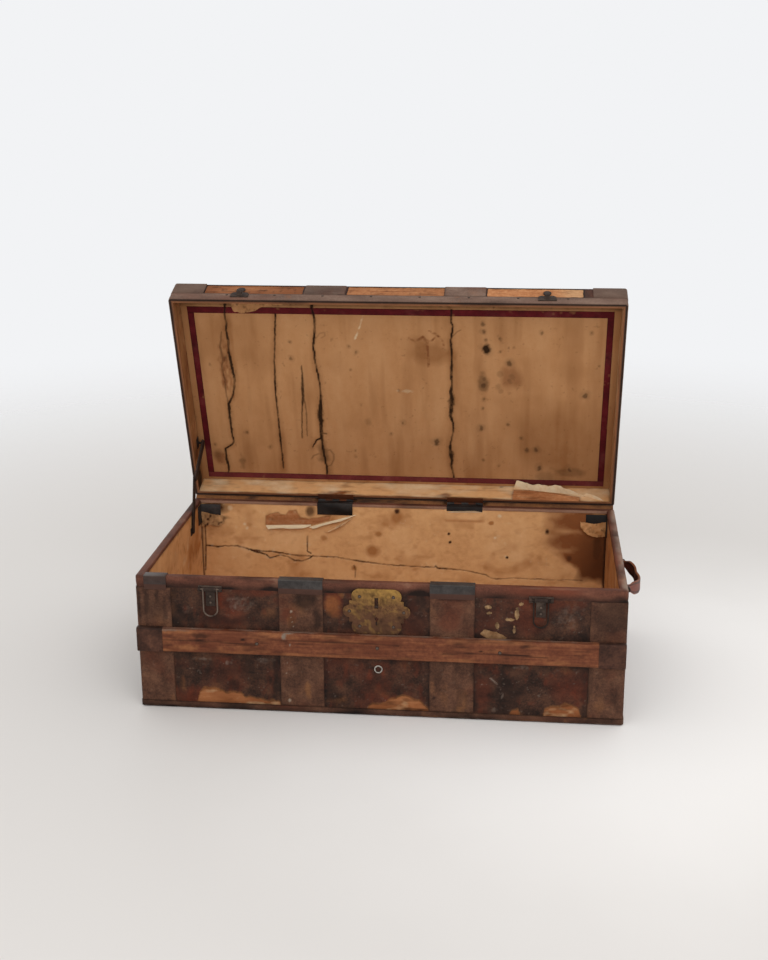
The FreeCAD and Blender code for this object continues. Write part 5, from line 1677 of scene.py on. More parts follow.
    def _wall_wear(self, span: Box, seed: int, pale: float, side: str) -> Field:
        """Browner paper of the lid's walls, dark towards the corners.

        Args:
            span: The wall's layout.
            seed: Picks the unevenness.
            pale: How much of its pale paper is left.
            side: Which wall it is.

        Returns:
            A field of wear.
        """
        def field(a: Array, b: Array) -> Array:
            """Wear at places on the wall."""
            stain = Stain(a, b, 0.6, seed)
            stain.add(GRIME, 0.4 * rim_of(a, b, span, 5.0) + 0.3 * patchy(a * 0.3, b, 9, seed, 0.15))
            stain.add(TINT, (1 - pale) * (0.8 + 0.4 * rough(a, b, 40, seed + 1)))
            stain.add(BARE, (0.8 - 0.5 * pale) * patchy(a * 0.3, b, 12, seed + 2, 0.1))
            stain.add(DUST, 0.55 * pale * patchy(a * 0.6, b, 22, seed + 3, -0.3))
            if side == "left":
                stain.marks(((GRIME, 205, 284, 42, 30, 0.8), (BARE, 150, 290, 70, 14, 0.5)))
            if side == "back":
                stain.add(GRIME, 0.4 * unit((275 - b) / 8) * (0.5 + rough(a, b, 20, seed + 4)))
                stain.marks(((BARE, -140, 274, 40, 9, 1.0), (BARE, 91, 276, 22, 10, 0.8),
                             (GRIME, 213, 314, 7, 5, 0.7), (GRIME, -120, 280, 30, 5, 0.5)))
                stain.add(BARE, 0.7 * unit(1 - inside(a, b, self.bare_wall) / 5))
            return stain.masks()
        return field

    def _wall_relief(self, seed: int, back: bool) -> Field:
        """Cockled paper, laid over the hinges' flaps on the back wall.

        Args:
            seed: Picks the unevenness.
            back: Whether it is the back wall.

        Returns:
            A field of heights.
        """
        def field(a: Array, b: Array) -> Array:
            """Rise of the paper at places on the wall."""
            rise = 0.25 * rough(a, b, 30, seed)
            for middle in BAND_PLACES.values() if back else ():
                away = inside(a, b, ((middle - 39, 260), (middle + 39, 260), (middle + 39, 293),
                                     (middle - 39, 293)))
                rise = rise + 1.6 * unit(1 - away / 8)
            return rise
        return field

    def build(self) -> None:
        """Paper the panel and the walls, then lay the tape."""
        face = Wall((0, 0, PANEL), RIGHT, FRONT)
        ends = np.linspace(-LID_CLEAR_X, LID_CLEAR_X, self.spans + 1)
        for i, (low, high) in enumerate(zip(ends, ends[1:])):
            panel = Sheet(f"lid_panel_{i + 1}", (low, high, -LID_CLEAR_Y, LID_CLEAR_Y), self.cell, face,
                          PAPER - 0.1, lid=True, relief=self._relief, wear=self._wear)
            fit(panel.build(), LID_LINING, "lid", *(() if i else ("lid_lining",)))
        walls = {
            "front": (Wall((0, -LID_CLEAR_Y, 0), LEFT, UP), LID_CLEAR_X, 0.25),
            "back": (Wall((0, LID_CLEAR_Y, 0), RIGHT, UP), LID_CLEAR_X, 0.9),
            "left": (Wall((-LID_CLEAR_X, 0, 0), BACK, UP), LID_CLEAR_Y, 0.1),
            "right": (Wall((LID_CLEAR_X, 0, 0), FRONT, UP), LID_CLEAR_Y, 0.55),
        }
        for i, (side, (wall, reach, pale)) in enumerate(walls.items()):
            area, back = (-reach, reach, RIM + 1.4, PANEL), side == "back"
            sheet = Sheet(f"lid_lining_{side}", area, self.wall_cell, wall, PAPER - 0.1, lid=True,
                          torn=self._torn if back else None, relief=self._wall_relief(630 + i, back),
                          wear=self._wall_wear(area, 640 + 5 * i, pale, side))
            fit(sheet.build(), LINING_WITH_PAINTED_LIGHT if back else LID_LINING, "lid")
        bare = Sheet("lid_bare_wood", (226.0, 386.0, 269.0, 307.0), 2.4,
                     Wall((0, LID_CLEAR_Y + 0.74, 0), RIGHT, UP), 0.3, lid=True, wear=bare_pine)
        fit(bare.build(), PINE, "lid")
        self._lay_tape()

    def _torn(self, a: Array, b: Array) -> Array:
        """Where the paper of the lid's back wall has been pulled off."""
        return inside(a, b, self.bare_wall) + 1.0 * rough(a, b, 7, 651)

    def _lay_tape(self) -> None:
        """Four strips of tape round the panel, on its own uneven face."""
        laid = []
        for i, area in enumerate(self.strips):
            def wear(a: Array, b: Array, area: Box = area, i: int = i) -> Array:
                """Wear at places on the strip."""
                stain = Stain(a, b)
                stain.add(BARE, 0.6 * self._cracks(a, b) + 0.7 * patchy(a, b, 16, 660 + i, 0.5))
                stain.add(GRIME, 0.4 * rim_of(a, b, area, 1.6) + self._cracks(a, b)
                          + 0.3 * patchy(a, b, 30, 665 + i))
                stain.add(DUST, 0.3 * patchy(a, b, 30, 670 + i, 0.1) + 0.3 * (i == 1))
                return stain.masks()

            def lift(a: Array, b: Array) -> Array:
                """Rise of the strip, which follows the panel under it."""
                return self._relief(a, b) * 0.7 + 0.5

            def worn(a: Array, b: Array, area: Box = area, i: int = i) -> Array:
                """Below zero where the edge of the strip has worn off."""
                ring = [(area[j], area[k]) for j, k in ((0, 2), (1, 2), (1, 3), (0, 3))]
                return -0.4 - inside(a, b, ring) - 0.5 * rough(a, b, 26, 680 + i)
            laid.append(Sheet(f"tape_{i}", area, 2.0, Wall((0, 0, PANEL), RIGHT, FRONT), self.tape_thick,
                              lid=True, torn=worn, relief=lift, wear=wear).build())
        fit(join("lid_tape", laid), TAPE, "lid", "lid_border_tape")


@dataclass
class LidCover:
    """Canvas, bands and corner caps on the outside of the lid."""

    cell: float = 2.4
    top_cell: float = 5.0
    inset: float = 3.0
    bare_places: tuple[Box, ...] = ((-383, -186, 27, 61), (-97, 98, 27, 61), (180, 366, 27, 61))
    bare_shades: tuple[Triple, ...] = ((0.9, 0.6, 0.0), (0.45, 0.3, 0.0), (0.0, 0.2, 0.4))
    nail_pitch: float = 96.0

    def _torn(self, a: Array, b: Array) -> Array:
        """Where the front wall's canvas has worn off the boards."""
        rings = [[(box[i], RIM + box[j]) for i, j in ((0, 2), (1, 2), (1, 3), (0, 3))]
                 for box in self.bare_places]
        return np.min([inside(a, b, ring) for ring in rings], axis=0) + 1.5 * rough(a, b, 12, 701)

    def _wear(self, seed: int, front: bool = False) -> Field:
        """Rubs and dirt of the lid's canvas.

        Args:
            seed: Picks the unevenness.
            front: Whether it is the front wall, which is worn through.

        Returns:
            A field of wear.
        """
        def field(a: Array, b: Array) -> Array:
            """Wear at places on the canvas."""
            stain = Stain(a, b, 0.7, seed)
            stain.add(BARE, 0.15 * patchy(a, b, 50, seed, 0.2))
            stain.add(GRIME, 0.35 * patchy(a, b, 50, seed + 1))
            stain.add(DUST, 0.2 * patchy(a * 0.6, b, 8, seed + 2, 0.2))
            stain.add(TINT, 0.45 * patchy(a, b, 80, seed + 3, -0.1))
            if front:
                stain.add(GRIME, 0.7 * unit(1 - self._torn(a, b) / 4))
            return stain.masks()
        return field

    def _bare_wood(self) -> None:
        """Pine that shows on the front wall, each stretch with its own colour."""
        shown = []
        for i, (box, (tint, grime, dust)) in enumerate(zip(self.bare_places, self.bare_shades)):
            def wear(a: Array, b: Array, i: int = i, tint: float = tint, grime: float = grime,
                     dust: float = dust, box: Box = box) -> Array:
                """Wear at places on one stretch of wood."""
                stain = Stain(a, b)
                stain.add(TINT, tint * (0.8 + 0.5 * rough(a * 0.4, b, 26, 741 + i)))
                stain.add(GRIME, grime * patchy(a, b, 7, 744 + i, 0.1)
                          + 0.5 * patchy(a * 0.15, b, 5, 747 + i, 0.2))
                stain.add(DUST, dust * unit((a - box[1] + 60) / 40))
                return stain.masks()
            area = (box[0] - 8, box[1] + 8, RIM + box[2] - 6, RIM + box[3] + 2)
            shown.append(Sheet(f"lid_pine_{i}", area, self.cell, Wall((0, -HALF_WIDTH + 0.7, 0), RIGHT, UP),
                               0.4, lid=True, relief=lambda a, b: 0.15 * rough(a * 0.06, b, 3, 750),
                               wear=wear).build())
        fit(join("lid_front_wood", shown), PINE, "lid")

    def build(self) -> None:
        """Cover the walls and the top, then lay bands, caps and nails."""
        x, y = HALF_LENGTH - self.inset, HALF_WIDTH - self.inset
        foot = RIM + 1.4
        walls = {
            "front": (Wall((0, -HALF_WIDTH, 0), RIGHT, UP), (-x, x, foot, LID_TOP), self.cell),
            "back": (Wall((0, HALF_WIDTH, 0), LEFT, UP), (-x, x, foot, LID_TOP), self.top_cell),
            "left": (Wall((-HALF_LENGTH, 0, 0), FRONT, UP), (-y, y, foot, LID_TOP), self.top_cell),
            "right": (Wall((HALF_LENGTH, 0, 0), BACK, UP), (-y, y, foot, LID_TOP), self.top_cell),
            "top": (Wall((0, 0, LID_TOP), RIGHT, BACK), (-x, x, -y, y), self.top_cell),
        }
        for i, (side, (wall, area, cell)) in enumerate(walls.items()):
            front = side == "front"
            sheet = Sheet(f"lid_canvas_{side}", area, cell, wall, CANVAS - 0.1, lid=True,
                          torn=self._torn if front else None, relief=CaseCover._cockle,
                          wear=self._wear(710 + 10 * i, front))
            fit(sheet.build(), CANVAS_FINISH, "lid", *(("lid_canvas",) if front else ()))
        self._bare_wood()
        out, top = HALF_WIDTH + LEATHER, LID_TOP + LEATHER
        section = Line([(-out, STRIP_TOP), (-out, top), (out, top), (out, STRIP_TOP)], 3.0)
        for side, middle in BAND_PLACES.items():
            area = (middle - BAND_HALF, middle + BAND_HALF, 0.0, section.length)
            seed = 760 + int(abs(middle))
            sheet = Sheet(f"lid_band_{side}_laid", area, 3.0, SectionWrap(section), LEATHER - 0.05, lid=True,
                          relief=CaseLeather._relief(area, seed),
                          wear=CaseLeather._wear(area, seed, ((GRIME, -142, 20, 70, 60, 0.6),)))
            fit(sheet.build(), FADED_LEATHER, "lid", f"lid_band_{side}")
        fit(soften("lid_corner_caps", 0.5, bare=0.3, grime=0.5), FADED_LEATHER, "lid", "lid_corner_caps",
            lie=Lie.ALONG)
        nails = [((i + 0.5) * self.nail_pitch, -HALF_WIDTH - 1.2, STRIP_TOP - 6.0) for i in range(-4, 4)]
        fit(domes("lid_nail_heads", nails, 2.4, 1.2, lid=True), IRON, "lid", "lid_nails")


@dataclass
class HingeCloth:
    """A strip of dark canvas glued over the joint at the back and swelling over the hinges, its dark colour
    standing in partly for the shade in the joint.
    """

    reach: float = 449.0
    swell: float = 6.0
    cell: float = 2.4
    thick: float = 0.8

    def build(self) -> None:
        """Lay the strip up the case's back and on under the open lid."""
        back = HALF_WIDTH + 2.2
        lid = opened(np.array([[0, back, RIM + 3.0], [0, back, RIM + 24.0]]))
        section = Line([(back, 246.0), (back, 263.0), *((y, z) for _, y, z in lid)][::-1], 1.5)

        def wear(a: Array, b: Array) -> Array:
            """Wear at places on the strip."""
            stain = Stain(a, b)
            stain.add(BARE, 0.5 + 0.4 * rough(a * 0.5, b, 20, 781))
            stain.add(GRIME, 0.6 * patchy(a * 0.4, b, 12, 782, 0.1))
            return stain.masks()

        def relief(a: Array, b: Array) -> Array:
            """Rise of the strip, which swells over the hinges."""
            away = np.min([np.abs(a - middle) - 40 for middle in BAND_PLACES.values()], axis=0)
            rise = unit(1 - away / 10)
            return self.swell * rise * rise * (3 - 2 * rise) + 0.15 * rough(a, b, 24, 783)
        made = Sheet("hinge_cloth", (-self.reach, self.reach, 0.0, section.length), self.cell,
                     SectionWrap(section), self.thick, relief=relief, wear=wear).build()
        made.data.materials.append(CANVAS_FINISH.material())
        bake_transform(made)
        LOG.info("%s: %s from case to lid", made.name, CANVAS_FINISH.title)


@dataclass(frozen=True)
class Flap:
    """A strip of paper that has come loose along one edge and curls away."""

    name: str
    start: Triple
    end: Triple
    hang: Triple
    away: Triple
    length: float
    curl: float
    ends: Pair = (0.1, 0.2)
    lid: bool = False
    seed: int = 1
    pale: float = 0.95

    def build(self) -> Piece:
        """Cut the strip and roll it up.

        Returns:
            The piece.
        """
        first, last = np.array(self.start), np.array(self.end)
        wide = float(np.linalg.norm(last - first))
        hang, away = np.array(self.hang, float), np.array(self.away, float)

        def place(a: Array, b: Array) -> tuple[Array, Array]:
            """Where the rolled strip lies, and which way it faces."""
            bend = self.curl * (1 + 0.5 * rough(a, b * 0, 40, self.seed))
            turn = b / bend
            base = first + np.outer(a / wide, last - first)
            points = base + np.outer(bend * np.sin(turn), hang) + np.outer(bend * (1 - np.cos(turn)), away)
            return points, np.outer(np.cos(turn), away) - np.outer(np.sin(turn), hang)

        def torn(a: Array, b: Array) -> Array:
            """Below zero past the ragged edge of the strip."""
            share = a / wide
            taper = unit(share / self.ends[0]) * unit((1 - share) / self.ends[1])
            return self.length * (0.15 + 0.85 * taper) * (0.8 + 0.3 * rough(a, b * 0, 18, self.seed + 1)) - b

        def wear(a: Array, b: Array) -> Array:
            """Wear at places on the strip."""
            stain = Stain(a, b)
            stain.add(GRIME, 0.5 * patchy(a, b, 12, self.seed + 2) + 0.8 * max(0.0, 0.4 - self.pale))
            stain.add(DUST, self.pale + 0.3 * rough(a, b, 9, self.seed + 3))
            return stain.masks()
        return Sheet(self.name, (0.0, wide, 0.0, self.length * 1.15), 1.6, place, 0.35, lid=self.lid,
                     torn=torn, relief=lambda a, b: 0.5 + 0.3 * rough(a, b, 12, self.seed + 4),
                     wear=wear).build()


@dataclass(frozen=True)
class Scrap:
    """A flat torn piece of paper, given by its outline on a face."""

    ring: tuple[Pair, ...]
    wear: tuple[Wear, float]
    lift: float = 0.4
    curl: float = 0.0

    def build(self, name: str, wall: Wall, seed: int, lid: bool = False) -> Piece:
        """Tear it out and lay it down.

        Args:
            name: The piece's name.
            wall: The face that it lies on.
            seed: Picks its ragged edge.
            lid: Whether it belongs to the lid.

        Returns:
            The piece.
        """
        along, across = zip(*self.ring)
        span = (min(along) - 2, max(along) + 2, min(across) - 2, max(across) + 2)
        kind, strength = self.wear

        def wear(a: Array, b: Array) -> Array:
            """Wear at places on the scrap."""
            stain = Stain(a, b)
            stain.add(kind, strength + 0.4 * rough(a, b, 8, seed))
            stain.add(GRIME, 0.5 * patchy(a, b, 6, seed + 1, 0.1))
            return stain.masks()

        def relief(a: Array, b: Array) -> Array:
            """Rise of the scrap, which curls at its lower edge."""
            return (self.lift + self.curl * (span[3] - b) / (span[3] - span[2])
                    + 0.12 * self.curl * rough(a, b, 14, seed + 2))

        def torn(a: Array, b: Array) -> Array:
            """Below zero past the ragged edge of the scrap."""
            return 1.8 * rough(a, b, 6, seed + 3) - inside(a, b, self.ring)
        return Sheet(name, span, 1.2, wall, 0.3, lid=lid, torn=torn, relief=relief, wear=wear).build()


def oval(x: float, z: float, wide: float, tall: float) -> tuple[Pair, ...]:
    """Outline of a rounded scrap, from its middle and half sizes."""
    return tuple((x + wide * math.cos(t), z + tall * math.sin(t))
                 for t in np.linspace(0, 2 * math.pi, 12, endpoint=False))


@dataclass
class TornPaper:
    """Loose strips of lining and scraps of a paper label, blank."""

    flaps: tuple[Flap, ...] = (
        Flap("lining_strip_long", (-293, 222.9, 211), (-195, 222.9, 215), (0, -0.2, -1), (0, -1, 0.2), 15.0,
             9.0, (0.06, 0.25), seed=801),
        Flap("lining_strip_end", (-199, 222.0, 210), (-97, 220.4, 241), (0, -0.25, -1), (0, -1, 0.25), 9.0,
             6.0, (0.1, 0.3), seed=811, pale=0.8),
        Flap("lining_strip_low", (-162, 221.5, 199), (-103, 221.0, 234), (0, -0.3, -1), (0, -1, 0.3), 8.0,
             5.0, (0.2, 0.4), seed=821, pale=0.2),
        Flap("lid_strip_torn", (384, 229.2, 288), (240, 229.2, 309), (0, -1, 0.1), (0, 0.1, 1), 19.0, 38.0,
             (0.3, 0.03), lid=True, seed=831, pale=0.7),
        Flap("lid_strip_corner", (428, 229.0, 270), (384, 229.0, 287), (0, -1, 0.1), (0, 0.1, 1), 11.0, 24.0,
             (0.3, 0.2), lid=True, seed=841, pale=0.6),
        Flap("hinge_strip_right", (99, 219.9, 252), (174, 219.9, 254), (0, -0.2, 1), (0, -1, -0.2), 6.0, 9.0,
             (0.2, 0.2), seed=871))
    label_bits: tuple[Box, ...] = (
        (201, 225, 7, 3.5), (203, 213, 5, 3), (260, 233, 5, 3.5), (253, 214, 4, 13), (249, 182, 3, 8),
        (241, 202, 8, 3), (218, 189, 3.5, 7))
    label: Scrap = Scrap(((186, 172), (194, 180), (213, 178), (229, 172), (237, 166), (231, 162), (214, 161),
                          (199, 164)), (TINT, 0.6))
    hook_paper: Scrap = Scrap(((-337, 214), (-336, 196), (-331, 188), (-318, 186), (-301, 187), (-288, 191),
                               (-276, 198), (-240, 203), (-186, 208), (-186, 214)), (TINT, 0.2), 1.2, 6.0)
    iron_papers: tuple[Scrap, ...] = (
        Scrap(((-434, 239), (-412, 235), (-386, 231), (-382, 217), (-396, 207), (-416, 210), (-434, 206)),
              (GRIME, 0.4), 3.4, 4.0),
        Scrap(((380, 240), (408, 235), (434, 240), (434, 208), (416, 206), (396, 212), (382, 226)),
              (TINT, 0.5), 3.4, 3.0))

    def build(self) -> None:
        """Hang the strips and paste the scraps."""
        for flap in self.flaps:
            fit(flap.build(), LINING_WITH_PAINTED_LIGHT, "lid" if flap.lid else "case")
        front = Wall((0, -HALF_WIDTH, 0), RIGHT, UP)
        back = Wall((0, CLEAR_Y, 0), RIGHT, UP)
        panel = Wall((0, 0, PANEL), RIGHT, FRONT)
        scraps = [*(Scrap(oval(*bit), (GRIME, 0.25)) for bit in self.label_bits), self.label]
        labels = [scrap.build(f"label_{i}", front, 880 + 5 * i) for i, scrap in enumerate(scraps)]
        fit(join("label_scraps", labels), LABEL, "case")
        papers = [scrap.build(f"paper_{i}", back, 930 + 5 * i) for i, scrap in enumerate(self.iron_papers)]
        fit(join("corner_papers", papers), LINING_WITH_PAINTED_LIGHT, "case")
        fit(self.hook_paper.build("hook_paper", panel, 940, lid=True), LID_LINING, "lid")


def score(obj: Piece, axis: int, places: Sequence[float]) -> None:
    """Cut a hard piece along flat planes, so that its wear can change there.

    Args:
        obj: The piece, in the trunk's frame.
        axis: Which way the planes face.
        places: Where they stand, in millimetres.
    """
    pick(obj)
    bpy.ops.object.mode_set(mode="EDIT")
    for place in places:
        bpy.ops.mesh.select_all(action="SELECT")
        facing = [float(i == axis) for i in range(3)]
        bpy.ops.mesh.bisect(plane_co=[place * MM * side for side in facing], plane_no=facing)
    bpy.ops.object.mode_set(mode="OBJECT")


@dataclass
class Lock:
    """The brass lock plate with its rivets, case and bolt, and the eyelet below."""

    place: float = -2.0
    level: float = 209.0
    face: float = -(HALF_WIDTH + 1.2 + 2.0)
    rivets: tuple[Pair, ...] = ((-31, -29), (-31, 29), (31, -29), (31, 29), (-50, 0), (50, 0))

    def build(self) -> None:
        """Work the plate and set its rivets."""
        plate = soften("lock_plate", 0.7, bare=0.8, grime=0.2)
        score(plate, 0, np.arange(-62.0, 60.0, 4.0))
        score(plate, 2, np.arange(167.0, 253.0, 4.0))
        points = read_points(plate) / MM
        a, b = points[:, 0], points[:, 2]
        up = np.clip((b - self.level) / 44, -1, 1)
        stain = Stain(a, b)
        stain.add(BARE, 0.8 * unit(up - 0.2) + 0.5 * patchy(a, b, 7, 901, 0.0))
        stain.add(GRIME, 0.55 * patchy(a, b, 8, 902) + 0.15 * unit(-up))
        stain.add(TINT, unit(0.45 - up + 0.6 * rough(a, b, 16, 903)))
        set_wear(plate, stain.masks())
        fit(plate, BRASS, "case", "lock_plate", lie=Lie.ALONG)
        heads = [(self.place + x, self.face, self.level + z) for x, z in self.rivets]
        fit(domes("lock_rivet_heads", heads, 3.2, 1.5), IRON, "case", "lock_rivets")
        for node, body in (("lock_case", "case"), ("lock_bolt", "lock_bolt")):
            fit(soften(node, 0.4), IRON, body, node, lie=Lie.ALONG)
        ring = soften("front_eyelet", 0.6)
        points = read_points(ring) / MM
        away = np.hypot(*(points[:, i] - (points[:, i].min() + points[:, i].max()) / 2 for i in (0, 2)))
        outer = away > 0.85 * away.max()
        set_wear(ring, masks(len(points), bare=0.5 * outer, grime=1.2 * ~outer))
        fit(ring, STEEL, "case", "front_eyelet", lie=Lie.ALONG)


@dataclass
class Catches:
    """Draw catches: plates, wire bails, hooks on the lid and rivets."""

    places: tuple[tuple[str, float], ...] = (("left", -310.0), ("right", 296.0))
    level: float = 243.0
    axis: float = -242.7
    wire: float = 1.5
    leg: float = 13.0
    drop: float = 53.0
    pivot: float = 22.0
    face: float = -240.3

    def _bail(self, side: str, centre: float) -> Piece:
        """Bend a wire loop with a round foot.

        Args:
            side: Which catch it belongs to.
            centre: The catch's middle.

        Returns:
            The piece.
        """
        turn = np.linspace(math.pi, 2 * math.pi, 17)
        hub = self.level - self.drop + self.leg
        bow = [(centre - self.leg, self.level),
               *((centre + self.leg * math.cos(t), hub + self.leg * math.sin(t)) for t in turn),
               (centre + self.leg, self.level)]
        bar = [(centre - self.pivot, self.level), (centre + self.pivot, self.level)]
        wires = []
        for i, run in enumerate((bow, bar)):
            data = bpy.data.curves.new(f"{side}_bail_{i}", "CURVE")
            data.dimensions = "3D"
            data.bevel_depth = self.wire * MM
            data.bevel_resolution = 3
            data.use_fill_caps = True
            spline = data.splines.new("POLY")
            spline.points.add(len(run) - 1)
            for point, (x, z) in zip(spline.points, run):
                point.co = (x * MM, self.axis * MM, z * MM, 1)
            wire = bpy.data.objects.new(f"{side}_bail_{i}", data)
            bpy.context.scene.collection.objects.link(wire)
            pick(wire)
            bpy.ops.object.convert(target="MESH")
            wires.append(bpy.context.object)
        made = join(f"{side}_bail_wire", wires)
        smooth(made)
        points = read_points(made) / MM
        uneven = rough(points[:, 0], points[:, 2], 8, 921)
        rubbed, dirty = (0.75, 0.0) if side == "left" else (0.2, 0.6)
        set_wear(made, masks(len(points), bare=rubbed * unit(0.7 + uneven), grime=dirty * unit(0.8 + uneven)))
        return made

    def build(self) -> None:
        """Work both catches."""
        rivets = []
        for side, centre in self.places:
            fit(soften(f"{side}_catch_plate", 0.5, bare=0.7), IRON, "case", f"{side}_catch_plate",
                lie=Lie.ALONG)
            fit(self._bail(side, centre), IRON, f"{side}_bail", f"{side}_bail", lie=Lie.ALONG)
            fit(soften(f"{side}_hook", 0.6, bare=0.7), IRON, "lid", f"{side}_hook", lie=Lie.ALONG)
            rivets += [(centre, self.face, self.level - 15.0 - 12.0 * i) for i in (0, 1)]
        fit(domes("catch_rivet_heads", rivets, 3.2, 1.5), IRON, "case", "catch_rivets")


@dataclass
class Handles:
    """Bowed leather handles that swing on pins between iron lugs."""

    half: float = 66.0
    bow: float = 26.0
    pivot: float = 461.0
    level: float = 205.0
    width: float = 24.0
    thick: float = 5.0
    eye_radius: float = 6.0
    eye: Pair = (63.0, 75.0)
    stitch: float = 5.5

    def _arc(self, sign: int) -> Line:
        """Middle line of the strap, seen from above, with a slight kink.

        Args:
            sign: 1 at the right end, -1 at the left.

        Returns:
            The line.
        """
        bend = (self.half ** 2 + self.bow ** 2) / (2 * self.bow)
        hub = self.pivot + self.bow - bend
        limit = math.asin(self.half / bend)
        turn = np.linspace(-limit, limit, 41)
        ahead = -sign * turn / limit
        kink = 4 * np.exp(-((ahead + 0.15) / 0.2) ** 2) - 2 * np.exp(-((ahead - 0.35) / 0.3) ** 2)
        out = bend + self.thick / 2 - kink
        points = [(sign * (hub + r * math.cos(t)), sign * r * math.sin(t)) for r, t in zip(out, turn)]
        return Line(points)

    def _hang(self, sign: int) -> Place:
        """Where the strap's face lies: tapered to its eyes, and drooping towards the front.

        Args:
            sign: 1 at the right end, -1 at the left.

        Returns:
            The place of each point of the strap.
        """
        line = self._arc(sign)
        wrap = PlanWrap(line)

        def place(a: Array, b: Array) -> tuple[Array, Array]:
            """Where the strap lies, and which way it faces."""
            share = a / line.length
            ahead = 1 - share if sign > 0 else share
            end = unit(1 - np.minimum(a, line.length - a) / 26)
            narrow = 1.15 - 0.57 * end * end * (3 - 2 * end)
            droop = (3 + 12 * ahead) * np.sin(math.pi * share) - 0.8 * rough(a, b * 0, 40, 941)
            return wrap(a, self.level + (b - self.level) * narrow - droop)
        return place

    def _strap(self, name: str, sign: int) -> Piece:
        """Cut the strap, tapered to its eyes, with a raised filling and two rows of stitches.

        Args:
            name: Which end of the trunk.
            sign: 1 at the right end, -1 at the left.

        Returns:
            Cut the strap, tapered to its eyes, with a raised filling, darker along its two rows of stitches.
        """
        line = self._arc(sign)
        half = self.width / 2

        def relief(a: Array, b: Array) -> Array:
            """Rise of the filling of the strap."""
            away = np.abs(b - self.level) / half
            return 0.5 - 1.1 * unit((away - 0.72) / 0.28) ** 2 + 0.15 * rough(a, b, 10, 942)

        def wear(a: Array, b: Array) -> Array:
            """Wear at places on the strap."""
            away = np.abs(b - self.level) / half
            return masks(len(a), bare=0.6 * unit(rough(a, b, 14, 943) - 0.1) + 0.4 * unit(away - 0.8) * 5,
                         grime=0.5 * unit(rough(a, b, 24, 944)) + 0.7 * (np.abs(away - 0.7) < 0.09),
                         tint=0.5 * unit(rough(a, b, 30, 945)))
        strap = Sheet(f"{name}_strap", (0.0, line.length, self.level - half, self.level + half), 1.5,
                      self._hang(sign), self.thick - 1.2, relief=relief, wear=wear).build()
        finish_with(strap, "BEVEL", width=1.2 * MM, segments=3, limit_method="ANGLE",
                    angle_limit=math.radians(50))
        smooth(strap)
        pieces = [strap]
        for end in (-1, 1):
            pieces.append(self._eye(f"{name}_eye_{end}", sign, end))
        return join(f"{name}_handle_leather", pieces)

    def _eye(self, name: str, sign: int, end: int) -> Piece:
        """A rolled leather eye round the pin.

        Args:
            name: Name of the eye.
            sign: 1 at the right end of the trunk, -1 at the left.
            end: 1 towards the back, -1 towards the front.

        Returns:
            The eye, to be joined to its strap.
        """
        low, high = self.eye
        pick()
        bpy.ops.mesh.primitive_cylinder_add(vertices=40, radius=self.eye_radius * MM, depth=(high - low) * MM)
        eye = named(name)
        finish_with(eye, "BEVEL", width=1.6 * MM, segments=3, limit_method="ANGLE",
                    angle_limit=math.radians(50))
        tube = read_points(eye) / MM
        points = np.column_stack([sign * self.pivot + tube[:, 0], end * (low + high) / 2 + tube[:, 2],
                                  self.level + tube[:, 1]])
        set_lay(eye, points * MM)
        grime = unit(0.3 + rough(points[:, 1], points[:, 2], 6, 951))
        set_wear(eye, masks(len(points), grime=grime))
        write_points(eye, points * MM)
        pick(eye)
        bpy.ops.object.mode_set(mode="EDIT")
        bpy.ops.mesh.select_all(action="SELECT")
        bpy.ops.mesh.normals_make_consistent(inside=False)
        bpy.ops.object.mode_set(mode="OBJECT")
        smooth(eye)
        return eye

    def _stitches(self, name: str, sign: int) -> Piece:
        """Two rows of waxed thread along the strap.

        Args:
            name: Which end of the trunk.
            sign: 1 at the right end, -1 at the left.

        Returns:
            The thread, as one piece.
        """
        line = self._arc(sign)
        lengths = np.arange(16.0, line.length - 14.0, self.stitch)
        pick()
        bpy.ops.mesh.primitive_uv_sphere_add(segments=8, ring_count=6, radius=1.0)
        bead = read_points(named("stitch_bead"))
        pattern = bpy.context.object
        stitches = []
        for row in (-1, 1):
            for i, length in enumerate(lengths):
                copy = pattern.copy()
                copy.data = pattern.data.copy()
                bpy.context.scene.collection.objects.link(copy)
                a = np.full(len(bead), length) + bead[:, 0] * 1.9
                b = self.level + row * 8.6 + bead[:, 1] * 0.5
                points, facing = self._hang(sign)(a, b)
                points = points + facing * (0.25 + bead[:, 2] * 0.45)[:, None]
                set_lay(copy, points * MM)
                set_wear(copy, masks(len(a), dust=0.55, grime=0.3 * (i % 3 == 0)))
                write_points(copy, points * MM)
                stitches.append(copy)
        bpy.data.objects.remove(pattern)
        made = join(f"{name}_handle_stitches", stitches)
        smooth(made)
        return made

    def build(self) -> None:
        """Make both handles and their lugs."""
        for name, sign in (("left", -1), ("right", 1)):
            strap = self._strap(name, sign)
            fit(strap, HANDLE_LEATHER, f"{name}_handle", f"{name}_handle_strap")
            fit(self._stitches(name, sign), HANDLE_LEATHER, f"{name}_handle")
            fit(soften(f"{name}_handle_lugs", 0.7, bare=0.7), IRON, "case", f"{name}_handle_lugs",
                lie=Lie.ALONG)


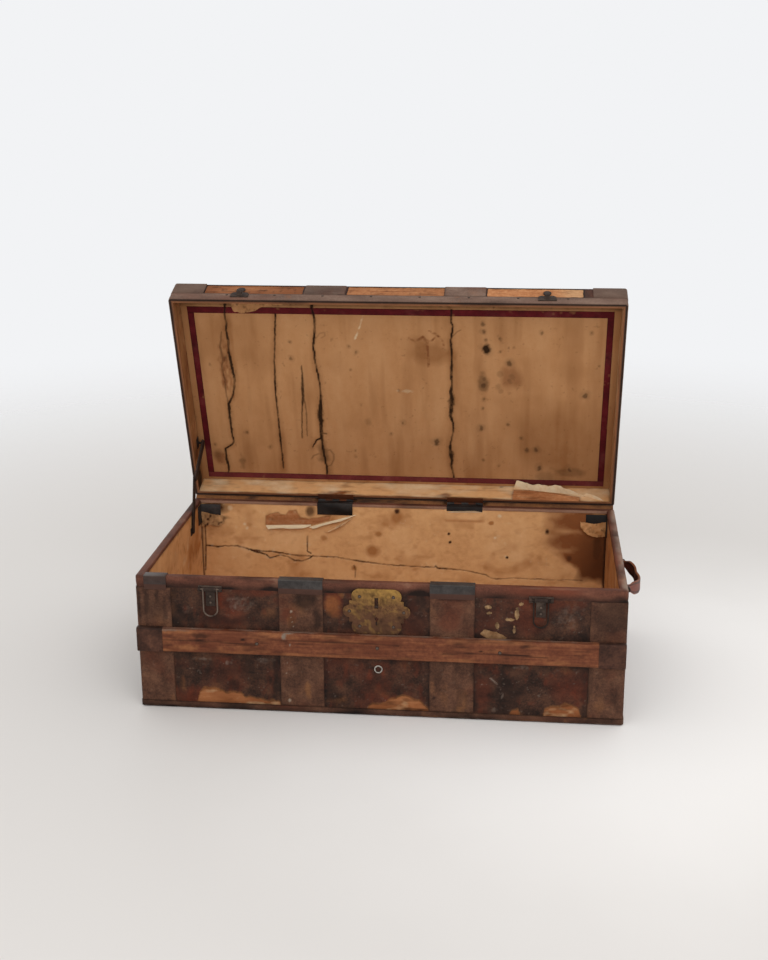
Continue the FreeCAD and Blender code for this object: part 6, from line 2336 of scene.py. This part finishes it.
@dataclass
class Ironwork:
    """Hinges, corner irons, lid stay and rim clips."""

    pieces: tuple[tuple[str, str, float], ...] = (
        ("case_hinge_leaves", "case", 0.3), ("lid_hinge_leaves", "lid", 0.3), ("hinge_pins", "case", 0.3),
        ("corner_irons", "case", 0.4), ("stay_case_bracket", "case", 0.4), ("stay_lid_bracket", "lid", 0.4),
        ("stay_lower_arm", "stay_lower", 0.5), ("stay_upper_arm", "stay_upper", 0.5),
        ("stay_knee_rivet", "stay_upper", 0.4))
    clip_face: float = 15.0
    rusty: tuple[str, ...] = ("lid_hinge_leaves", "hinge_pins")
    broad: tuple[tuple[str, Pair], ...] = (("stay_upper_arm", (1.6, 1.4)), ("stay_lower_arm", (1.4, 1.3)))

    @staticmethod
    def _broaden(arm: Piece, wide: float, thick: float) -> None:
        """Give a flat arm of the stay the breadth of a forged bar.

        Args:
            arm: The arm, in the trunk's frame.
            wide: How many times broader it gets.
            thick: How many times thicker it gets, away from the wall.
        """
        points = read_points(arm)
        flat = points[:, 1:] - points[:, 1:].mean(axis=0)
        along = np.linalg.svd(flat, full_matrices=False)[2][0]
        points[:, 1:] += (wide - 1) * (flat - np.outer(flat @ along, along))
        points[:, 0] = points[:, 0].min() + thick * (points[:, 0] - points[:, 0].min())
        write_points(arm, points)

    def build(self) -> None:
        """Work every iron, then the japanned clips on the rim, rusted brown below, their top edge pale with
        rubbing and a painted highlight.
        """
        broad = dict(self.broad)
        for node, body, edge in self.pieces:
            black = node in ("corner_irons", "case_hinge_leaves")
            piece = soften(node, edge, bare=0.1 if black else 0.4, grime=0.9 if black else 0.5)
            if node in broad:
                self._broaden(piece, *broad[node])
            if node in self.rusty:
                points = read_points(piece) / MM
                rust = unit(0.8 + rough(points[:, 0], points[:, 2], 9, 965))
                set_wear(piece, masks(len(points), tint=rust, grime=0.2))
            fit(piece, JAPAN if black else IRON, body, node, lie=Lie.ALONG)
        clips = soften("rim_clips", 0.45)
        score(clips, 2, (CASE_HEIGHT - self.clip_face, CASE_HEIGHT - self.clip_face - 1.5, CASE_HEIGHT - 1.5))
        points = read_points(clips) / MM
        a, b = points[:, 0], points[:, 2]
        stain = Stain(a, b)
        # Pale grey along the clips' top edge: rubbed japan, and a painted highlight along the bend over the
        # rim.
        stain.add(BARE, 0.35 * unit((b - CASE_HEIGHT + 1.5) / 2) * (0.6 + rough(a, b, 12, 961)))
        stain.add(TINT, unit((CASE_HEIGHT - self.clip_face - b) / 2 + 0.6 * rough(a, b, 7, 963)))
        stain.add(TINT, 0.5 * (a < -380) * (0.8 + rough(a, b, 9, 967)))
        set_wear(clips, stain.masks())
        fit(clips, JAPAN, "case", "rim_clips", lie=Lie.ALONG)


@dataclass
class Studio:
    """A pale floor that fades into the ground behind, paler round the trunk with painted light, soft light
    and the camera.
    """

    eye: Triple = (256.8, -2558.1, 1166.4)
    pitch: float = 16.844
    yaw: float = -6.004
    roll: float = -0.293
    lens: float = 51.57
    floor_tone: str = "#dfdbd7"
    # Paler floor tone round the trunk: painted light that lifts the trunk's shadow on the floor.
    floor_painted_light: str = "#f8f5f2"
    painted_light_reach: Pair = (0.45, 1.15)
    painted_light_middle: Triple = (0.5, -0.1, 0.0)
    sky_colour: str = "#f2f3f5"
    sky_light: float = 0.88
    fade: Pair = (1.0, 3.4)
    lamps: tuple[tuple[str, Triple, Triple, float, float], ...] = (
        ("key", (1.4, -2.8, 2.8), (0.0, 0.0, 0.2), 2.4, 26.0),
        ("fill", (-1.2, -3.2, 2.4), (0.0, 0.0, 0.3), 2.4, 10.0))

    def _camera(self) -> None:
        """Stand the camera where the picture was taken."""
        pitch, yaw, roll = (math.radians(angle) for angle in (self.pitch, self.yaw, self.roll))
        ahead = Vector((math.sin(yaw) * math.cos(pitch), math.cos(yaw) * math.cos(pitch), -math.sin(pitch)))
        right = Vector((math.cos(yaw), -math.sin(yaw), 0.0))
        up = right.cross(ahead)
        side = right * math.cos(roll) + up * math.sin(roll)
        rise = up * math.cos(roll) - right * math.sin(roll)
        data = bpy.data.cameras.new("camera")
        data.lens = self.lens
        data.sensor_width = 36.0
        camera = bpy.data.objects.new("camera", data)
        axes = Matrix((side, rise, -ahead)).transposed().to_4x4()
        camera.matrix_world = Matrix.Translation(Vector(self.eye) * MM) @ axes
        bpy.context.scene.collection.objects.link(camera)
        bpy.context.scene.camera = camera

    def _sky(self) -> None:
        """Even light from all round, and a paler ground that only the lens sees."""
        world = bpy.data.worlds.new("studio")
        world.use_nodes = True
        tree = world.node_tree
        tree.nodes.clear()
        light = add(tree, "ShaderNodeBackground", {"Color": (1.0, 1.0, 1.0, 1.0), "Strength": self.sky_light})
        seen = add(tree, "ShaderNodeBackground", {"Color": linear(self.sky_colour), "Strength": 1.0})
        lens = add(tree, "ShaderNodeLightPath").outputs["Is Camera Ray"]
        mixed = add(tree, "ShaderNodeMixShader", {0: lens, 1: light.outputs[0], 2: seen.outputs[0]})
        add(tree, "ShaderNodeOutputWorld", {"Surface": mixed.outputs[0]})
        bpy.context.scene.world = world

    def _floor(self) -> None:
        """A plain painted floor, paler round the trunk with painted light that lifts the trunk's shadow, its
        far edge lost in the ground behind.
        """
        pick()
        bpy.ops.mesh.primitive_plane_add(size=16.0)
        floor = named("studio_floor")
        made = bpy.data.materials.new("matt_floor_paint")
        made.use_nodes = True
        tree = made.node_tree
        tree.nodes.clear()
        place = add(tree, "ShaderNodeTexCoord").outputs["Object"]
        mottle = add(tree, "ShaderNodeTexNoise",
                     {"Vector": place, "Scale": 1.6, "Detail": 4.0}).outputs["Fac"]
        away = add(tree, "ShaderNodeVectorMath", {0: place}, operation="LENGTH").outputs["Value"]
        # Distance from the pool of painted light round the trunk, made uneven by the mottle below.
        from_painted_light = add(tree, "ShaderNodeVectorMath", {0: place, 1: self.painted_light_middle},
                     operation="DISTANCE").outputs["Value"]
        uneven = add(tree, "ShaderNodeMath", {0: mottle, 1: 0.3, 2: from_painted_light},
                     operation="MULTIPLY_ADD").outputs[0]
        share = add(tree, "ShaderNodeMapRange",
                    {"Value": uneven, "From Min": self.painted_light_reach[0], "From Max": self.painted_light_reach[1]},
                    interpolation_type="SMOOTHSTEP").outputs[0]
        colour = add(tree, "ShaderNodeMix", {0: share, 6: linear(self.floor_painted_light),
                                             7: linear(self.floor_tone)}, data_type="RGBA").outputs[2]
        skin = add(tree, "ShaderNodeBsdfPrincipled", {"Base Color": colour, "Roughness": 0.7}).outputs[0]
        share = add(tree, "ShaderNodeMapRange",
                    {"Value": away, "From Min": self.fade[0], "From Max": self.fade[1]},
                    interpolation_type="SMOOTHSTEP").outputs[0]
        clear = add(tree, "ShaderNodeBsdfTransparent").outputs[0]
        mixed = add(tree, "ShaderNodeMixShader", {0: share, 1: skin, 2: clear})
        add(tree, "ShaderNodeOutputMaterial", {"Surface": mixed.outputs[0]})
        floor.data.materials.append(made)

    def build(self) -> None:
        """Set up the studio."""
        self._camera()
        self._sky()
        self._floor()
        for name, place, aim, size, power in self.lamps:
            data = bpy.data.lights.new(name, "AREA")
            data.shape = "DISK"
            data.size = size
            data.energy = power
            lamp = bpy.data.objects.new(name, data)
            lamp.location = place
            lamp.rotation_euler = (Vector(aim) - Vector(place)).to_track_quat("-Z", "Y").to_euler()
            bpy.context.scene.collection.objects.link(lamp)
        bpy.context.scene.view_settings.view_transform = "Standard"


def main() -> None:
    """Build the trunk and its studio."""
    logging.basicConfig(level=logging.INFO, format="%(message)s")
    for part in (Woodwork(), CaseCover(), CaseLeather(), Bindings(), Slats(), CaseLining(), LidLining(),
                 LidCover(), HingeCloth(), TornPaper(), Lock(), Catches(), Handles(), Ironwork(), Studio()):
        part.build()


if __name__ == "__main__":
    main()
